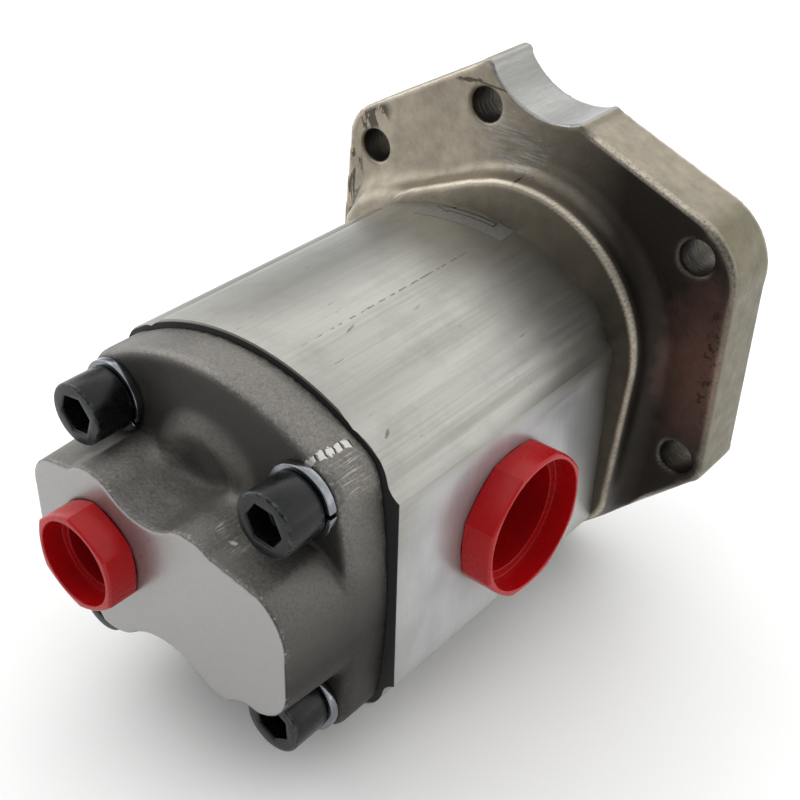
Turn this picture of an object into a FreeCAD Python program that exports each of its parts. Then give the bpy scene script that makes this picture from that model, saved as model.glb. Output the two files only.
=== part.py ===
"""External gear pump with a cast mounting flange, an extruded body and a cast rear cover.

Millimetres, +Z up. The origin is on the drive shaft's axis in the plane of the mounting face.
The drive shaft leaves towards +Y, and the rear cover is at the -Y end. Sketches stand in the
XZ plane, whose normal points to -Y, so every length and depth runs rearwards.
"""
import FreeCAD, Part
import math
import os
import re
import Sketcher

V = FreeCAD.Vector

SIZES = {
    # casings, along the shaft
    "body_length": 96.0,
    "plate_thickness": 20.0,
    "boss_height": 9.0,
    "cover_thickness": 14.5,
    "cover_face_height": 36.0,
    "pilot_radius": 50.8,
    "pilot_height": 9.7,
    "plate_side": 80.2,
    "plate_edge_round": 1.6,
    "boss_root_round": 5.6,
    "boss_ridge_round": 2.4,
    # section of the extruded body
    "port_face_x": 51.0,
    "port_face_half": 31.0,
    "crown_radius": 75.0,
    "crown_top": 57.0,
    "crown_half": 31.5,
    "shoulder_radius": 13.4,
    "flare_radius": 6.5,
    "bolt_x": 34.0,
    "bolt_z": 33.0,
    # rear cover
    "cover_inset": 2.4,
    "cover_corner_radius": 11.7,
    "cover_crown_half": 31.0,
    "cover_side_radius": 230.0,
    "cover_edge_round": 2.8,
    "face_half": 46.6,
    "face_draft": 3.0,
    "spot_radius": 11.4,
    "dome_radius": 13.6,
    "dome_half_width": 4.4,
    "dome_height": 3.8,
    # gears
    "centre_distance": 45.0,
    "tip_radius": 26.0,
    "root_radius": 18.1,
    "gear_width": 50.0,
    "backlash": 0.25,
    "tip_clearance": 0.25,
    "side_clearance": 0.05,
    # shafts and bearings
    "journal_radius": 12.0,
    "journal_clearance": 0.05,
    "journal_end_gap": 1.0,
    "bush_wall": 2.0,
    "bush_shortfall": 0.5,
    "block_clearance": 0.05,
    "relief_gap": 5.0,
    "relief_reach": 12.0,
    "relief_width": 5.0,
    "relief_depth": 1.5,
    "shaft_reach": 41.2,
    "spline_radius": 10.9,
    "spline_depth": 1.6,
    "spline_length": 30.0,
    "neck_radius": 9.2,
    "neck_length": 2.5,
    "shaft_chamfer": 1.0,
    "centre_hole_radius": 3.2,
    "centre_hole_depth": 5.5,
    # shaft seal and its ring
    "seal_radius": 20.0,
    "seal_width": 8.0,
    "seal_wall": 2.2,
    "lip_width": 1.4,
    "ring_width": 1.5,
    "ring_bite": 1.2,
    "ring_recess": 1.4,
    "ring_land": 3.0,
    "ring_gap": 13.0,
    "ring_eye": 2.5,
    "shaft_hole": 14.0,
    # seals between the casings
    "gasket_radius": 27.7,
    "gasket_half": 33.0,
    "gasket_width": 1.6,
    "gasket_depth": 2.0,
    "groove_clearance": 0.1,
    "balance_radius": 18.4,
    "balance_width": 2.2,
    "balance_depth": 2.0,
    "balance_mouth": 16.0,
    "bridge_width": 6.4,
    "backup_depth": 0.8,
    # ports
    "suction_radius": 20.0,
    "suction_depth": 22.0,
    "suction_passage": 15.0,
    "pressure_radius": 13.0,
    "pressure_depth": 20.0,
    "pressure_x": -20.5,
    "pressure_z": 0.5,
    "gallery_x": -25.0,
    "gallery_radius": 5.5,
    "port_chamfer": 1.2,
    # plugs
    "suction_collar": 22.0,
    "suction_collar_height": 9.0,
    "suction_facet": 40.0,
    "pressure_collar": 15.2,
    "pressure_collar_height": 8.5,
    "pressure_facet": 26.0,
    "plug_shank": 12.0,
    "plug_wall": 2.6,
    "plug_floor": 2.0,
    "plug_step": 0.7,
    "collar_chamfer": 0.6,
    "plug_clearance": 0.3,
    "plug_standoff": 0.6,
    # fasteners
    "screw_radius": 6.0,
    "thread_engagement": 17.0,
    "head_radius": 9.0,
    "head_height": 12.0,
    "head_chamfer": 0.8,
    "socket_flats": 10.0,
    "socket_depth": 6.5,
    "washer_radius": 10.3,
    "washer_height": 2.5,
    "washer_split": 1.4,
    "screw_clearance": 0.3,
    "thread_clearance": 0.1,
    "thread_spare": 3.0,
    "dowel_radius": 4.0,
    "dowel_length": 14.0,
    "dowel_clearance": 0.05,
    "dowel_chamfer": 0.6,
    "dowel_x": 40.0,
    "dowel_z": 14.0,
    "flange_hole": 5.25,
    "flange_hole_chamfer": 0.8,
    "pilot_chamfer": 1.0,
}

GEAR_TEETH = 12
PRESSURE_ANGLE = math.radians(25.0)
SPLINE_TEETH = 13
SUCTION_FACETS = 8
PRESSURE_FACETS = 6

# Corners, as signs of x and z, of the four cover screws.
CORNERS = [(1, 1), (-1, 1), (-1, -1), (1, -1)]

# The two gear axes, measured from the middle of the body.
AXES = [(0, "centre_distance / 2"), (0, "-centre_distance / 2")]

# An outline is a list of corners taken anticlockwise. A corner is x, z, and where an arc leads
# to the next corner, its radius and the side its centre lies on: 1 is left, -1 is right.
# The plate's corners are measured from the drive axis, for a plate_side of DRAWN_SIDE.
DRAWN_SIDE = 80.2
PLATE_OUTLINE = [
    (80.2, -26.5), (80.2, 28, 21, 1),
    (66, 51.9), (28.6, 65.9, 2.4, 1), (25.2, 66.2, 25.3, -1), (-3.2, 75.2, 2.6, 1),
    (-8.2, 76.2), (-50.6, 52, 14, 1),
    (-58.2, 38.5), (-63, -14, 14, 1),
    (-60, -24), (-55, -36), (-54.5, -52, 15.5, 1), (-48.6, -64.2, 120, 1), (-27, -77.5, 61.5, 1),
    (0, -83.5, 61.5, 1), (30, -75.7, 120, 1), (53.3, -56.5), (77.6, -32.4, 5, 1),
]

# The boss behind the plate is the belt line round these circles, x, z and radius.
BOSS_CIRCLES = [
    (42, -46, 13.5), (14, 3, 45), (-39, 13.4, 14), (-39, -52, 14), (0, -22, 60),
]

# The machined face of the rear cover, from the middle of the cover, for a face_half of DRAWN_FACE.
DRAWN_FACE = 46.6
FACE_OUTLINE = [
    (46.6, -10), (46.6, 2, 16, 1),
    (38.5, 18.2), (22, 21, 14, 1), (8.5, 21.8, 18.5, -1), (-13, 21.3, 13, 1),
    (-30.5, 21.6), (-38, 20.1, 10.5, 1),
    (-46.6, 8), (-46.6, -12, 12, 1),
    (-38, -22.6), (-30, -25, 15, 1), (-11, -24.5, 21, -1), (14, -22.3, 13, 1),
    (30, -23.2), (37, -21.6, 13, 1),
]

# Holes of the mounting plate, x and z from the drive axis.
FLANGE_HOLES = [(-47.2, 39.4), (-5.4, 64), (67.6, 39.8), (71.6, -25.6)]

doc = FreeCAD.newDocument("gear_pump")
sheet = doc.addObject("Spreadsheet::Sheet", "size")
for row, (alias, value) in enumerate(SIZES.items(), 1):
    sheet.set(f"A{row}", alias)
    sheet.set(f"B{row}", str(value))
    sheet.setAlias(f"B{row}", alias)
doc.recompute()

ALIAS = re.compile(r"\b(" + "|".join(SIZES) + r")\b")

# Stations behind the mounting face, as text for the expressions.
BODY_FRONT = "(plate_thickness + boss_height)"
BODY_REAR = "(plate_thickness + boss_height + body_length)"
BLOCK_LENGTH = "((body_length - gear_width) / 2 - side_clearance)"
HEAD_SEAT = "(plate_thickness + boss_height + body_length + cover_thickness + washer_height)"
SCREW_LENGTH = "(body_length + cover_thickness + washer_height + thread_engagement)"
BORE = "(journal_radius + journal_clearance + bush_wall)"
CHAMBER = "(tip_radius + tip_clearance)"
MIDDLE = "(-centre_distance / 2)"


def bound(text):
    """An expression on the sheet's cells, from text that uses their aliases."""
    return ALIAS.sub(r"size.\1", str(text))


def number(text):
    """The present value of such an expression."""
    return float(sheet.evalExpression(bound(text)))


def new_body(label, y="0", z="0", x="0", heading=0):
    """A body whose place is bound to the sheet, turned about the upright axis by heading degrees."""
    body = doc.addObject("PartDesign::Body", label)
    body.Label = label
    body.AllowCompound = True
    body.Placement = FreeCAD.Placement(V(0, 0, 0), FreeCAD.Rotation(V(0, 0, 1), heading))
    for axis, text in (("x", x), ("y", y), ("z", z)):
        body.setExpression("Placement.Base." + axis, bound(text))
    return body


def origin_feature(body, role):
    return next(f for f in body.Origin.OriginFeatures if f.Role == role)


def new_sketch(body, offset="0", plane="XZ_Plane", rise="0"):
    """A sketch parallel to one of the body's own planes, offset along its normal, and raised."""
    sketch = body.newObject("Sketcher::SketchObject", body.Label + "_sketch")
    sketch.AttachmentSupport = (origin_feature(body, plane), "")
    sketch.MapMode = "FlatFace"
    sketch.setExpression("AttachmentOffset.Base.z", bound(offset))
    sketch.setExpression("AttachmentOffset.Base.y", bound(rise))
    return sketch


def pin_point(sketch, geometry, end, x, z):
    """Ties one point of a sketch to two expressions."""
    for kind, text in (("DistanceX", x), ("DistanceY", z)):
        index = sketch.addConstraint(Sketcher.Constraint(kind, geometry, end, number(text)))
        sketch.setExpression(f"Constraints[{index}]", bound(text))


def size_radius(sketch, geometry, radius):
    index = sketch.addConstraint(Sketcher.Constraint("Radius", geometry, number(radius)))
    sketch.setExpression(f"Constraints[{index}]", bound(radius))


def arc_between(start, end, radius, side):
    """The short arc from start to end with its centre on the given side."""
    chord = end - start
    height = math.sqrt(max(radius ** 2 - chord.Length ** 2 / 4, 0))
    across = V(-chord.y, chord.x, 0).normalize() * height * side
    centre = (start + end) / 2 + across
    first, last = (start, end) if side > 0 else (end, start)
    angles = [math.atan2(p.y - centre.y, p.x - centre.x) for p in (first, last)]
    return Part.ArcOfCircle(Part.Circle(centre, V(0, 0, 1), radius), angles[0], angles[1])


def draw_outline(sketch, corners):
    """Draws a closed outline of lines and arcs, each corner tied to its expressions."""
    places = [V(number(c[0]), number(c[1]), 0) for c in corners]
    ends = []
    for i, corner in enumerate(corners):
        start, end = places[i], places[(i + 1) % len(corners)]
        if len(corner) == 2:
            index = sketch.addGeometry(Part.LineSegment(start, end))
            ends.append((index, 1, 2))
        else:
            arc = arc_between(start, end, number(corner[2]), corner[3])
            index = sketch.addGeometry(arc)
            size_radius(sketch, index, corner[2])
            ends.append((index, 1, 2) if corner[3] > 0 else (index, 2, 1))
    for i, (index, first, last) in enumerate(ends):
        following = ends[(i + 1) % len(ends)]
        join = Sketcher.Constraint("Coincident", index, last, following[0], following[1])
        sketch.addConstraint(join)
        pin_point(sketch, index, first, corners[i][0], corners[i][1])


def belt_ends(first, second):
    """Where the outer tangent leaves one circle and meets the next, both anticlockwise."""
    dx = second[0] - first[0]
    dz = second[1] - first[1]
    span = math.hypot(dx, dz)
    along = (first[2] - second[2]) / span
    across = math.sqrt(1 - along ** 2)
    normal = V((along * dx + across * dz) / span, (along * dz - across * dx) / span, 0)
    return V(first[0], first[1], 0) + normal * first[2], V(second[0], second[1], 0) + normal * second[2]


def draw_belt(sketch, circles):
    """Draws the line of a belt round some circles, which are listed anticlockwise."""
    values = [tuple(number(part) for part in circle) for circle in circles]
    count = len(circles)
    lines = [belt_ends(values[i], values[(i + 1) % count]) for i in range(count)]
    for i, (x, z, radius) in enumerate(values):
        angles = [math.atan2(p.y - z, p.x - x) for p in (lines[i - 1][1], lines[i][0])]
        arc = Part.ArcOfCircle(Part.Circle(V(x, z, 0), V(0, 0, 1), radius), angles[0], angles[1])
        index = sketch.addGeometry(arc)
        pin_point(sketch, index, 3, circles[i][0], circles[i][1])
        size_radius(sketch, index, circles[i][2])
    for start, end in lines:
        sketch.addGeometry(Part.LineSegment(start, end))
    for i in range(count):
        sketch.addConstraint(Sketcher.Constraint("Tangent", i, 2, count + i, 1))
        sketch.addConstraint(Sketcher.Constraint("Tangent", count + i, 2, (i + 1) % count, 1))


def draw_circle(sketch, x, z, radius):
    circle = Part.Circle(V(number(x), number(z), 0), V(0, 0, 1), number(radius))
    index = sketch.addGeometry(circle)
    pin_point(sketch, index, 3, x, z)
    size_radius(sketch, index, radius)


def add(body, kind, sketch, length=None, flip=False, taper=None):
    """A pad or pocket. With no length a pocket goes through all."""
    feature = body.newObject("PartDesign::" + kind, body.Label + "_" + kind.lower())
    feature.Profile = sketch
    feature.Reversed = flip
    if length is None:
        feature.Type = "ThroughAll"
    else:
        feature.setExpression("Length", bound(length))
    if taper is not None:
        feature.setExpression("TaperAngle", bound(taper))
    return feature


def turn(body, kind, sketch):
    """A revolution or groove about the sketch's own horizontal axis."""
    feature = body.newObject("PartDesign::" + kind, body.Label + "_" + kind.lower())
    feature.Profile = sketch
    feature.ReferenceAxis = (sketch, ["H_Axis"])
    feature.Angle = 360
    return feature


def dress(body, kind, size, test):
    """A fillet or chamfer of the tip's edges that pass the test, which gets an edge's middle."""
    doc.recompute()
    names = []
    for i, edge in enumerate(body.Tip.Shape.Edges, 1):
        middle = edge.valueAt((edge.FirstParameter + edge.LastParameter) / 2)
        if test(edge, middle):
            names.append(f"Edge{i}")
    feature = body.newObject("PartDesign::" + kind, body.Label + "_" + kind.lower())
    feature.Base = (feature.BaseFeature, names)
    feature.setExpression("Radius" if kind == "Fillet" else "Size", bound(size))
    return feature


def is_round(edge, radius, closed=True):
    """Whether an edge is a circle of this radius, or an arc of one if closed is false."""
    circle = isinstance(edge.Curve, Part.Circle) and abs(edge.Curve.Radius - radius) < 1e-3
    return circle and (edge.isClosed() or not closed)


def lies_at(point, y):
    return abs(point.y - y) < 1e-3


def on_line(sketch, point):
    """Whether a point stands straight behind a sketch's line."""
    return sketch.Shape.distToShape(Part.Vertex(V(point.x, 0, point.z)))[0] < 1e-3


def drill(body, places, radius, depth=None, offset="0", flip=False):
    """Round holes from a plane parallel to the mounting face."""
    sketch = new_sketch(body, offset)
    for x, z in places:
        draw_circle(sketch, x, z, radius)
    return add(body, "Pocket", sketch, depth, flip)


def corner_places(x, z, corners=CORNERS):
    return [(f"{sx} * {x}", f"{sz} * {z}") for sx, sz in corners]


def lobes(radius):
    """The outline of two crossing circles, one about each gear's axis."""
    half = "centre_distance / 2"
    waist = f"sqrt(({radius})^2 - ({half})^2)"
    return [
        (waist, 0, radius, 1), (0, f"{half} + {radius}", radius, 1),
        (f"-{waist}", 0, radius, 1), (0, f"-({half} + {radius})", radius, 1),
    ]


def gasket_outline(grow):
    """A barrel-shaped ring line: end arcs about the gear axes, tangent to long side arcs."""
    half = "centre_distance / 2"
    lean = f"2 * atan((gasket_half - gasket_radius) / ({half}))"
    side = f"(gasket_radius + ({half}) / sin({lean}) + ({grow}))"
    end = f"(gasket_radius + ({grow}))"
    x = f"({end} * cos({lean}))"
    z = f"({half} + {end} * sin({lean}))"
    return [(x, f"-{z}", side, 1), (x, z, end, 1), (f"-{x}", z, side, 1), (f"-{x}", f"-{z}", end, 1)]


def cut_gasket_groove(body, offset, flip, rise="0"):
    """The groove of a casing seal in a joint face."""
    sketch = new_sketch(body, offset, rise=rise)
    draw_outline(sketch, gasket_outline("gasket_width / 2 + groove_clearance"))
    draw_outline(sketch, gasket_outline("-gasket_width / 2 - groove_clearance"))
    return add(body, "Pocket", sketch, "gasket_depth", flip)


def cut_dowel_holes(body, offset, flip, z="0"):
    places = [(f"{s} * dowel_x", f"{s} * dowel_z + {z}") for s in (1, -1)]
    depth = "dowel_length / 2 + 4 * dowel_clearance"
    return drill(body, places, "dowel_radius + dowel_clearance", depth, offset, flip)


def rectangle(x0, z0, x1, z1):
    return [(x0, z0), (x1, z0), (x1, z1), (x0, z1)]


def square(half):
    return rectangle(f"-{half}", f"-{half}", half, half)


def grown(corners, alias, drawn):
    """Corners, circles or holes whose lengths grow with one size, from the value they are drawn for."""
    scaled = []
    for corner in corners:
        lengths = tuple(f"{value} * {alias} / {drawn}" for value in corner[:3])
        scaled.append(lengths + corner[3:])
    return scaled


def make_flange():
    """Cast mounting flange: plate, raised boss, pilot, seal seat and tapped holes."""
    body = new_body("mounting_flange")
    sketch = new_sketch(body)
    draw_outline(sketch, square("1.5 * plate_side"))
    add(body, "Pad", sketch, "plate_thickness")
    sketch = new_sketch(body)
    draw_belt(sketch, grown(BOSS_CIRCLES, "plate_side", DRAWN_SIDE))
    add(body, "Pad", sketch, BODY_FRONT)
    step = -number("plate_thickness")
    ridge = -number(BODY_FRONT)
    dress(body, "Fillet", "boss_root_round", lambda edge, p: lies_at(p, step) and on_line(sketch, p))
    dress(body, "Fillet", "boss_ridge_round", lambda edge, p: lies_at(p, ridge))
    trim = new_sketch(body)
    draw_outline(trim, grown(PLATE_OUTLINE, "plate_side", DRAWN_SIDE))
    draw_outline(trim, square("1.6 * plate_side"))
    add(body, "Pocket", trim, flip=True)
    right = number("plate_side") / 2
    dress(body, "Fillet", "plate_edge_round",
          lambda edge, p: lies_at(p, step) and on_line(trim, p) and p.x > right)
    sketch = new_sketch(body)
    draw_circle(sketch, 0, 0, "pilot_radius")
    add(body, "Pad", sketch, "pilot_height", True)
    pilot = number("pilot_radius")
    face = number("pilot_height")
    dress(body, "Chamfer", "pilot_chamfer", lambda edge, p: lies_at(p, face) and is_round(edge, pilot))
    seat = "(pilot_height - ring_recess)"
    floor = f"({seat} - ring_width - seal_width)"
    sketch = new_sketch(body, plane="YZ_Plane")
    draw_outline(sketch, [
        (f"-{BODY_FRONT} - 1", 0), ("pilot_height + 1", 0), ("pilot_height + 1", "seal_radius"),
        (seat, "seal_radius"), (seat, "seal_radius + ring_bite"),
        (f"{seat} - ring_width", "seal_radius + ring_bite"), (f"{seat} - ring_width", "seal_radius"),
        (floor, "seal_radius"), (floor, "shaft_hole"), (f"-{BODY_FRONT} - 1", "shaft_hole"),
    ])
    turn(body, "Groove", sketch)
    drill(body, grown(FLANGE_HOLES, "plate_side", DRAWN_SIDE), "flange_hole", flip=True)
    hole = number("flange_hole")
    dress(body, "Chamfer", "flange_hole_chamfer",
          lambda edge, p: is_round(edge, hole) and (lies_at(p, step) or lies_at(p, 0)))
    taps = [(x, f"{z} - centre_distance / 2") for x, z in corner_places("bolt_x", "bolt_z")]
    drill(body, taps, "screw_radius + thread_clearance", "thread_engagement + thread_spare", BODY_FRONT)
    cut_gasket_groove(body, BODY_FRONT, False, MIDDLE)
    cut_dowel_holes(body, BODY_FRONT, False, MIDDLE)
    return body


def body_outline():
    """The extruded section: two port faces, a shoulder at every screw and two crowns."""
    quarter = [
        ("port_face_x", "port_face_half", "flare_radius", -1),
        ("bolt_x + shoulder_radius * cos(12)", "bolt_z + shoulder_radius * sin(12)", "shoulder_radius", 1),
        ("bolt_x + shoulder_radius * cos(81)", "bolt_z + shoulder_radius * sin(81)"),
        ("crown_half", crown_height("crown_radius", "crown_half"), "crown_radius", 1),
    ]
    return mirrored(quarter)


def crown_height(radius, x):
    """How high the crown of a radius stands at x. All crowns share the body's centre line."""
    return f"sqrt(({radius})^2 - ({x})^2) - (crown_radius - crown_top)"


def mirrored(quarter, side=()):
    """An outline from its upper right quarter, whose corners run from the side to the crown.

    The last corner's arc leads over the crown, and side is the arc between the two side corners.
    """
    places = [corner[:2] for corner in quarter]
    arcs = [corner[2:] for corner in quarter]
    rising = list(zip(places, arcs))
    falling = list(zip(places[::-1], arcs[-2::-1] + [side]))
    outline = []
    for x_sign, z_sign, run in ((1, 1, rising), (-1, 1, falling), (-1, -1, rising), (1, -1, falling)):
        for (x, z), arc in run:
            outline.append((f"{x_sign} * ({x})", f"{z_sign} * ({z})") + arc)
    return outline


def make_body():
    """Extruded body with the gear chamber, the suction port and the pressure gallery."""
    body = new_body("pump_body", f"-{BODY_FRONT}", MIDDLE)
    sketch = new_sketch(body)
    draw_outline(sketch, body_outline())
    add(body, "Pad", sketch, "body_length")
    sketch = new_sketch(body)
    draw_outline(sketch, lobes(CHAMBER))
    add(body, "Pocket", sketch, "body_length", True)
    screws = corner_places("bolt_x", "bolt_z")
    drill(body, screws, "screw_radius + screw_clearance", "body_length", flip=True)
    cut_dowel_holes(body, "0", True)
    cut_dowel_holes(body, "body_length", False)
    middle = "-body_length / 2"
    for depth, radius in (("suction_depth", "suction_radius"), ("port_face_x", "suction_passage")):
        sketch = new_sketch(body, "port_face_x", "YZ_Plane")
        draw_circle(sketch, middle, 0, radius)
        add(body, "Pocket", sketch, depth)
    mouth = number("suction_radius")
    side = number("port_face_x")
    dress(body, "Chamfer", "port_chamfer", lambda edge, p: is_round(edge, mouth) and abs(p.x - side) < 0.01)
    drill(body, [("gallery_x", 0)], "gallery_radius", "body_length / 2 + gallery_radius", "body_length")
    sketch = new_sketch(body, "gallery_x", "YZ_Plane")
    draw_circle(sketch, middle, 0, "gallery_radius")
    add(body, "Pocket", sketch, "-gallery_x", True)
    return body


def make_cover():
    """Cast rear cover: screw flange, tall S-shaped boss, dome ring and the pressure port."""
    body = new_body("rear_cover", f"-{BODY_REAR}", MIDDLE)
    sketch = new_sketch(body)
    draw_outline(sketch, cover_outline())
    add(body, "Pad", sketch, "cover_thickness")
    rear = -number("cover_thickness")
    dress(body, "Fillet", "cover_edge_round", lambda edge, p: lies_at(p, rear))
    sketch = new_sketch(body, "cover_face_height")
    draw_outline(sketch, grown(FACE_OUTLINE, "face_half", DRAWN_FACE))
    add(body, "Pad", sketch, "cover_face_height - cover_thickness + 2", True, "face_draft")
    sketch = new_sketch(body, plane="YZ_Plane", rise="centre_distance / 2")
    inner = "dome_radius - dome_half_width"
    outer = "dome_radius + dome_half_width"
    shoulder = "dome_half_width - dome_height - cover_thickness"
    draw_outline(sketch, [
        ("1 - cover_thickness", inner), ("1 - cover_thickness", outer),
        (shoulder, outer, "dome_half_width * 1.01", 1), (shoulder, inner),
    ])
    turn(body, "Revolution", sketch)
    screws = corner_places("bolt_x", "bolt_z")
    drill(body, screws, "spot_radius", "cover_face_height - cover_thickness", "cover_face_height")
    drill(body, screws, "screw_radius + screw_clearance", "cover_thickness", flip=True)
    drill(body, [("pressure_x", "pressure_z")], "pressure_radius", "pressure_depth", "cover_face_height")
    mouth = number("pressure_radius")
    face = -number("cover_face_height")
    dress(body, "Chamfer", "port_chamfer", lambda edge, p: is_round(edge, mouth) and lies_at(p, face))
    drill(body, [("gallery_x", 0)], "gallery_radius", "cover_face_height - pressure_depth + 1", flip=True)
    cut_gasket_groove(body, "0", True)
    cut_dowel_holes(body, "0", True)
    return body


def cover_outline():
    """The cover's section: like the body's, smaller, with slightly bowed sides."""
    corner = "cover_corner_radius"
    crown = "crown_radius - cover_inset"
    quarter = [
        (f"bolt_x + {corner} * cos(5)", f"bolt_z + {corner} * sin(5)", corner, 1),
        (f"bolt_x + {corner} * cos(70)", f"bolt_z + {corner} * sin(70)"),
        ("cover_crown_half", crown_height(crown, "cover_crown_half"), crown, 1),
    ]
    return mirrored(quarter, ("cover_side_radius", 1))


def make_block(label, y, outer_at_rear):
    """Floating bearing block: two bores, a seal groove outside and relief slots at the gears."""
    body = new_body(label, y, MIDDLE)
    sketch = new_sketch(body)
    draw_outline(sketch, lobes(f"({CHAMBER} - block_clearance)"))
    add(body, "Pad", sketch, BLOCK_LENGTH)
    drill(body, AXES, BORE, BLOCK_LENGTH, flip=True)
    outside = BLOCK_LENGTH if outer_at_rear else "0"
    inside = "0" if outer_at_rear else BLOCK_LENGTH
    depth = "balance_depth + backup_depth"
    grow = "groove_clearance"
    sketch = new_sketch(body, outside)
    draw_rings(sketch, grow)
    add(body, "Pocket", sketch, depth, not outer_at_rear)
    sketch = new_sketch(body, outside)
    draw_outline(sketch, bridge(grow))
    add(body, "Pocket", sketch, depth, not outer_at_rear)
    sketch = new_sketch(body, inside)
    for sign in (1, -1):
        x0, x1 = f"{sign} * (relief_gap)", f"{sign} * (relief_gap + relief_reach)"
        draw_outline(sketch, rectangle(x0, "-relief_width / 2", x1, "relief_width / 2"))
    add(body, "Pocket", sketch, "relief_depth", outer_at_rear)
    return body


def draw_rings(sketch, grow):
    """Rings about both gear axes, wider by grow on each side."""
    for x, z in AXES:
        draw_circle(sketch, x, z, f"balance_radius + balance_width / 2 + {grow}")
        draw_circle(sketch, x, z, f"balance_radius - balance_width / 2 - {grow}")


def bridge(grow):
    """The bar between the rings."""
    reach = "centre_distance / 2 - balance_radius"
    half = f"bridge_width / 2 + {grow}"
    return rectangle(f"-({half})", f"-({reach})", half, reach)


def make_three(label, y, thickness):
    """A flat strip in the shape of a 3, open towards the pressure side."""
    body = new_body(label, y, MIDDLE)
    sketch = new_sketch(body)
    draw_rings(sketch, "0")
    add(body, "Pad", sketch, thickness)
    sketch = new_sketch(body)
    draw_outline(sketch, bridge("0"))
    add(body, "Pad", sketch, thickness)
    sketch = new_sketch(body)
    for x, z in AXES:
        draw_outline(sketch, rectangle("-2 * balance_radius", f"{z} - balance_mouth / 2",
                                       "-balance_radius / 2", f"{z} + balance_mouth / 2"))
    add(body, "Pocket", sketch, thickness, True)
    return body


def make_bushes(label, y):
    body = new_body(label, y, MIDDLE)
    sketch = new_sketch(body, "bush_shortfall")
    for x, z in AXES:
        draw_circle(sketch, x, z, BORE)
        draw_circle(sketch, x, z, "journal_radius + journal_clearance")
    add(body, "Pad", sketch, f"{BLOCK_LENGTH} - 2 * bush_shortfall")
    return body


def make_gasket(label, y):
    body = new_body(label, y, MIDDLE)
    sketch = new_sketch(body)
    draw_outline(sketch, gasket_outline("gasket_width / 2"))
    draw_outline(sketch, gasket_outline("-gasket_width / 2"))
    add(body, "Pad", sketch, "gasket_depth")
    return body


def make_dowels(label, y):
    body = new_body(label, y, MIDDLE)
    sketch = new_sketch(body)
    for sign in (1, -1):
        draw_circle(sketch, f"{sign} * dowel_x", f"{sign} * dowel_z", "dowel_radius")
    add(body, "Pad", sketch, "dowel_length")
    radius = number("dowel_radius")
    dress(body, "Chamfer", "dowel_chamfer", lambda edge, p: is_round(edge, radius))
    return body


def make_seal():
    """Lip seal: outer case, front web and a lip that leans rearwards on the shaft."""
    front = "(pilot_height - ring_recess - ring_width)"
    body = new_body("shaft_seal", front)
    lip = "(journal_radius + journal_clearance)"
    sketch = new_sketch(body, plane="YZ_Plane")
    draw_outline(sketch, [
        (0, f"{lip} + seal_wall"), (0, "seal_radius"), ("-seal_width", "seal_radius"),
        ("-seal_width", "seal_radius - seal_wall"), ("-seal_wall", "seal_radius - seal_wall"),
        ("-seal_wall", f"{lip} + 2 * lip_width"), ("-seal_width + lip_width", f"{lip} + lip_width"),
        ("-seal_width + lip_width", lip), ("-seal_width + 2 * lip_width", lip),
        ("-seal_wall", f"{lip} + lip_width / 2"),
    ])
    turn(body, "Revolution", sketch)
    return body


def make_ring():
    """Internal circlip with a gap below and an eye at each end."""
    play = "groove_clearance"
    body = new_body("seal_retaining_ring", f"(pilot_height - ring_recess - {play} / 2)")
    thickness = f"ring_width - {play}"
    sketch = new_sketch(body)
    draw_circle(sketch, 0, 0, f"seal_radius + ring_bite - {play}")
    draw_circle(sketch, 0, 0, "seal_radius + ring_bite - ring_land")
    add(body, "Pad", sketch, thickness)
    sketch = new_sketch(body)
    draw_outline(sketch, rectangle("-ring_gap / 2", "-2 * seal_radius", "ring_gap / 2", "-seal_radius / 2"))
    add(body, "Pocket", sketch, thickness, True)
    drop = "-(seal_radius - 1.7 * ring_eye)"
    eyes = [(f"{sign} * (ring_gap / 2 + 0.9 * ring_eye)", drop) for sign in (1, -1)]
    sketch = new_sketch(body)
    for x, z in eyes:
        draw_circle(sketch, x, z, "ring_eye")
    add(body, "Pad", sketch, thickness)
    drill(body, eyes, "ring_eye / 2.4", thickness, flip=True)
    return body


def make_screws():
    """Four socket head screws."""
    body = new_body("cover_screws", f"-{HEAD_SEAT}", MIDDLE)
    places = corner_places("bolt_x", "bolt_z")
    steps = (("head_radius", "head_height", False), ("screw_radius", SCREW_LENGTH, True))
    for radius, length, flip in steps:
        sketch = new_sketch(body)
        for x, z in places:
            draw_circle(sketch, x, z, radius)
        add(body, "Pad", sketch, length, flip)
    top = -number("head_height")
    tip = number(SCREW_LENGTH)
    head = number("head_radius")
    shank = number("screw_radius")
    dress(body, "Chamfer", "head_chamfer", lambda edge, p: (
        is_round(edge, head) and lies_at(p, top)) or (is_round(edge, shank) and lies_at(p, tip)))
    sketch = new_sketch(body, "head_height")
    for x, z in places:
        corners = []
        for k in range(6):
            angle = 60 * k + 15
            corners.append((f"{x} + socket_flats / sqrt(3) * cos({angle})",
                            f"{z} + socket_flats / sqrt(3) * sin({angle})"))
        draw_outline(sketch, corners)
    add(body, "Pocket", sketch, "socket_depth")
    return body


def make_washers():
    """Four split spring washers."""
    body = new_body("lock_washers", f"-({BODY_REAR} + cover_thickness)", MIDDLE)
    places = corner_places("bolt_x", "bolt_z")
    sketch = new_sketch(body)
    for x, z in places:
        draw_circle(sketch, x, z, "washer_radius")
        draw_circle(sketch, x, z, "screw_radius + screw_clearance")
    add(body, "Pad", sketch, "washer_height")
    sketch = new_sketch(body)
    for x, z in places:
        draw_outline(sketch, rectangle(f"{x} - washer_split / 2", f"{z} + 2",
                                       f"{x} + washer_split / 2", f"{z} + 2 * washer_radius"))
    add(body, "Pocket", sketch, "washer_height", True)
    return body


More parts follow.
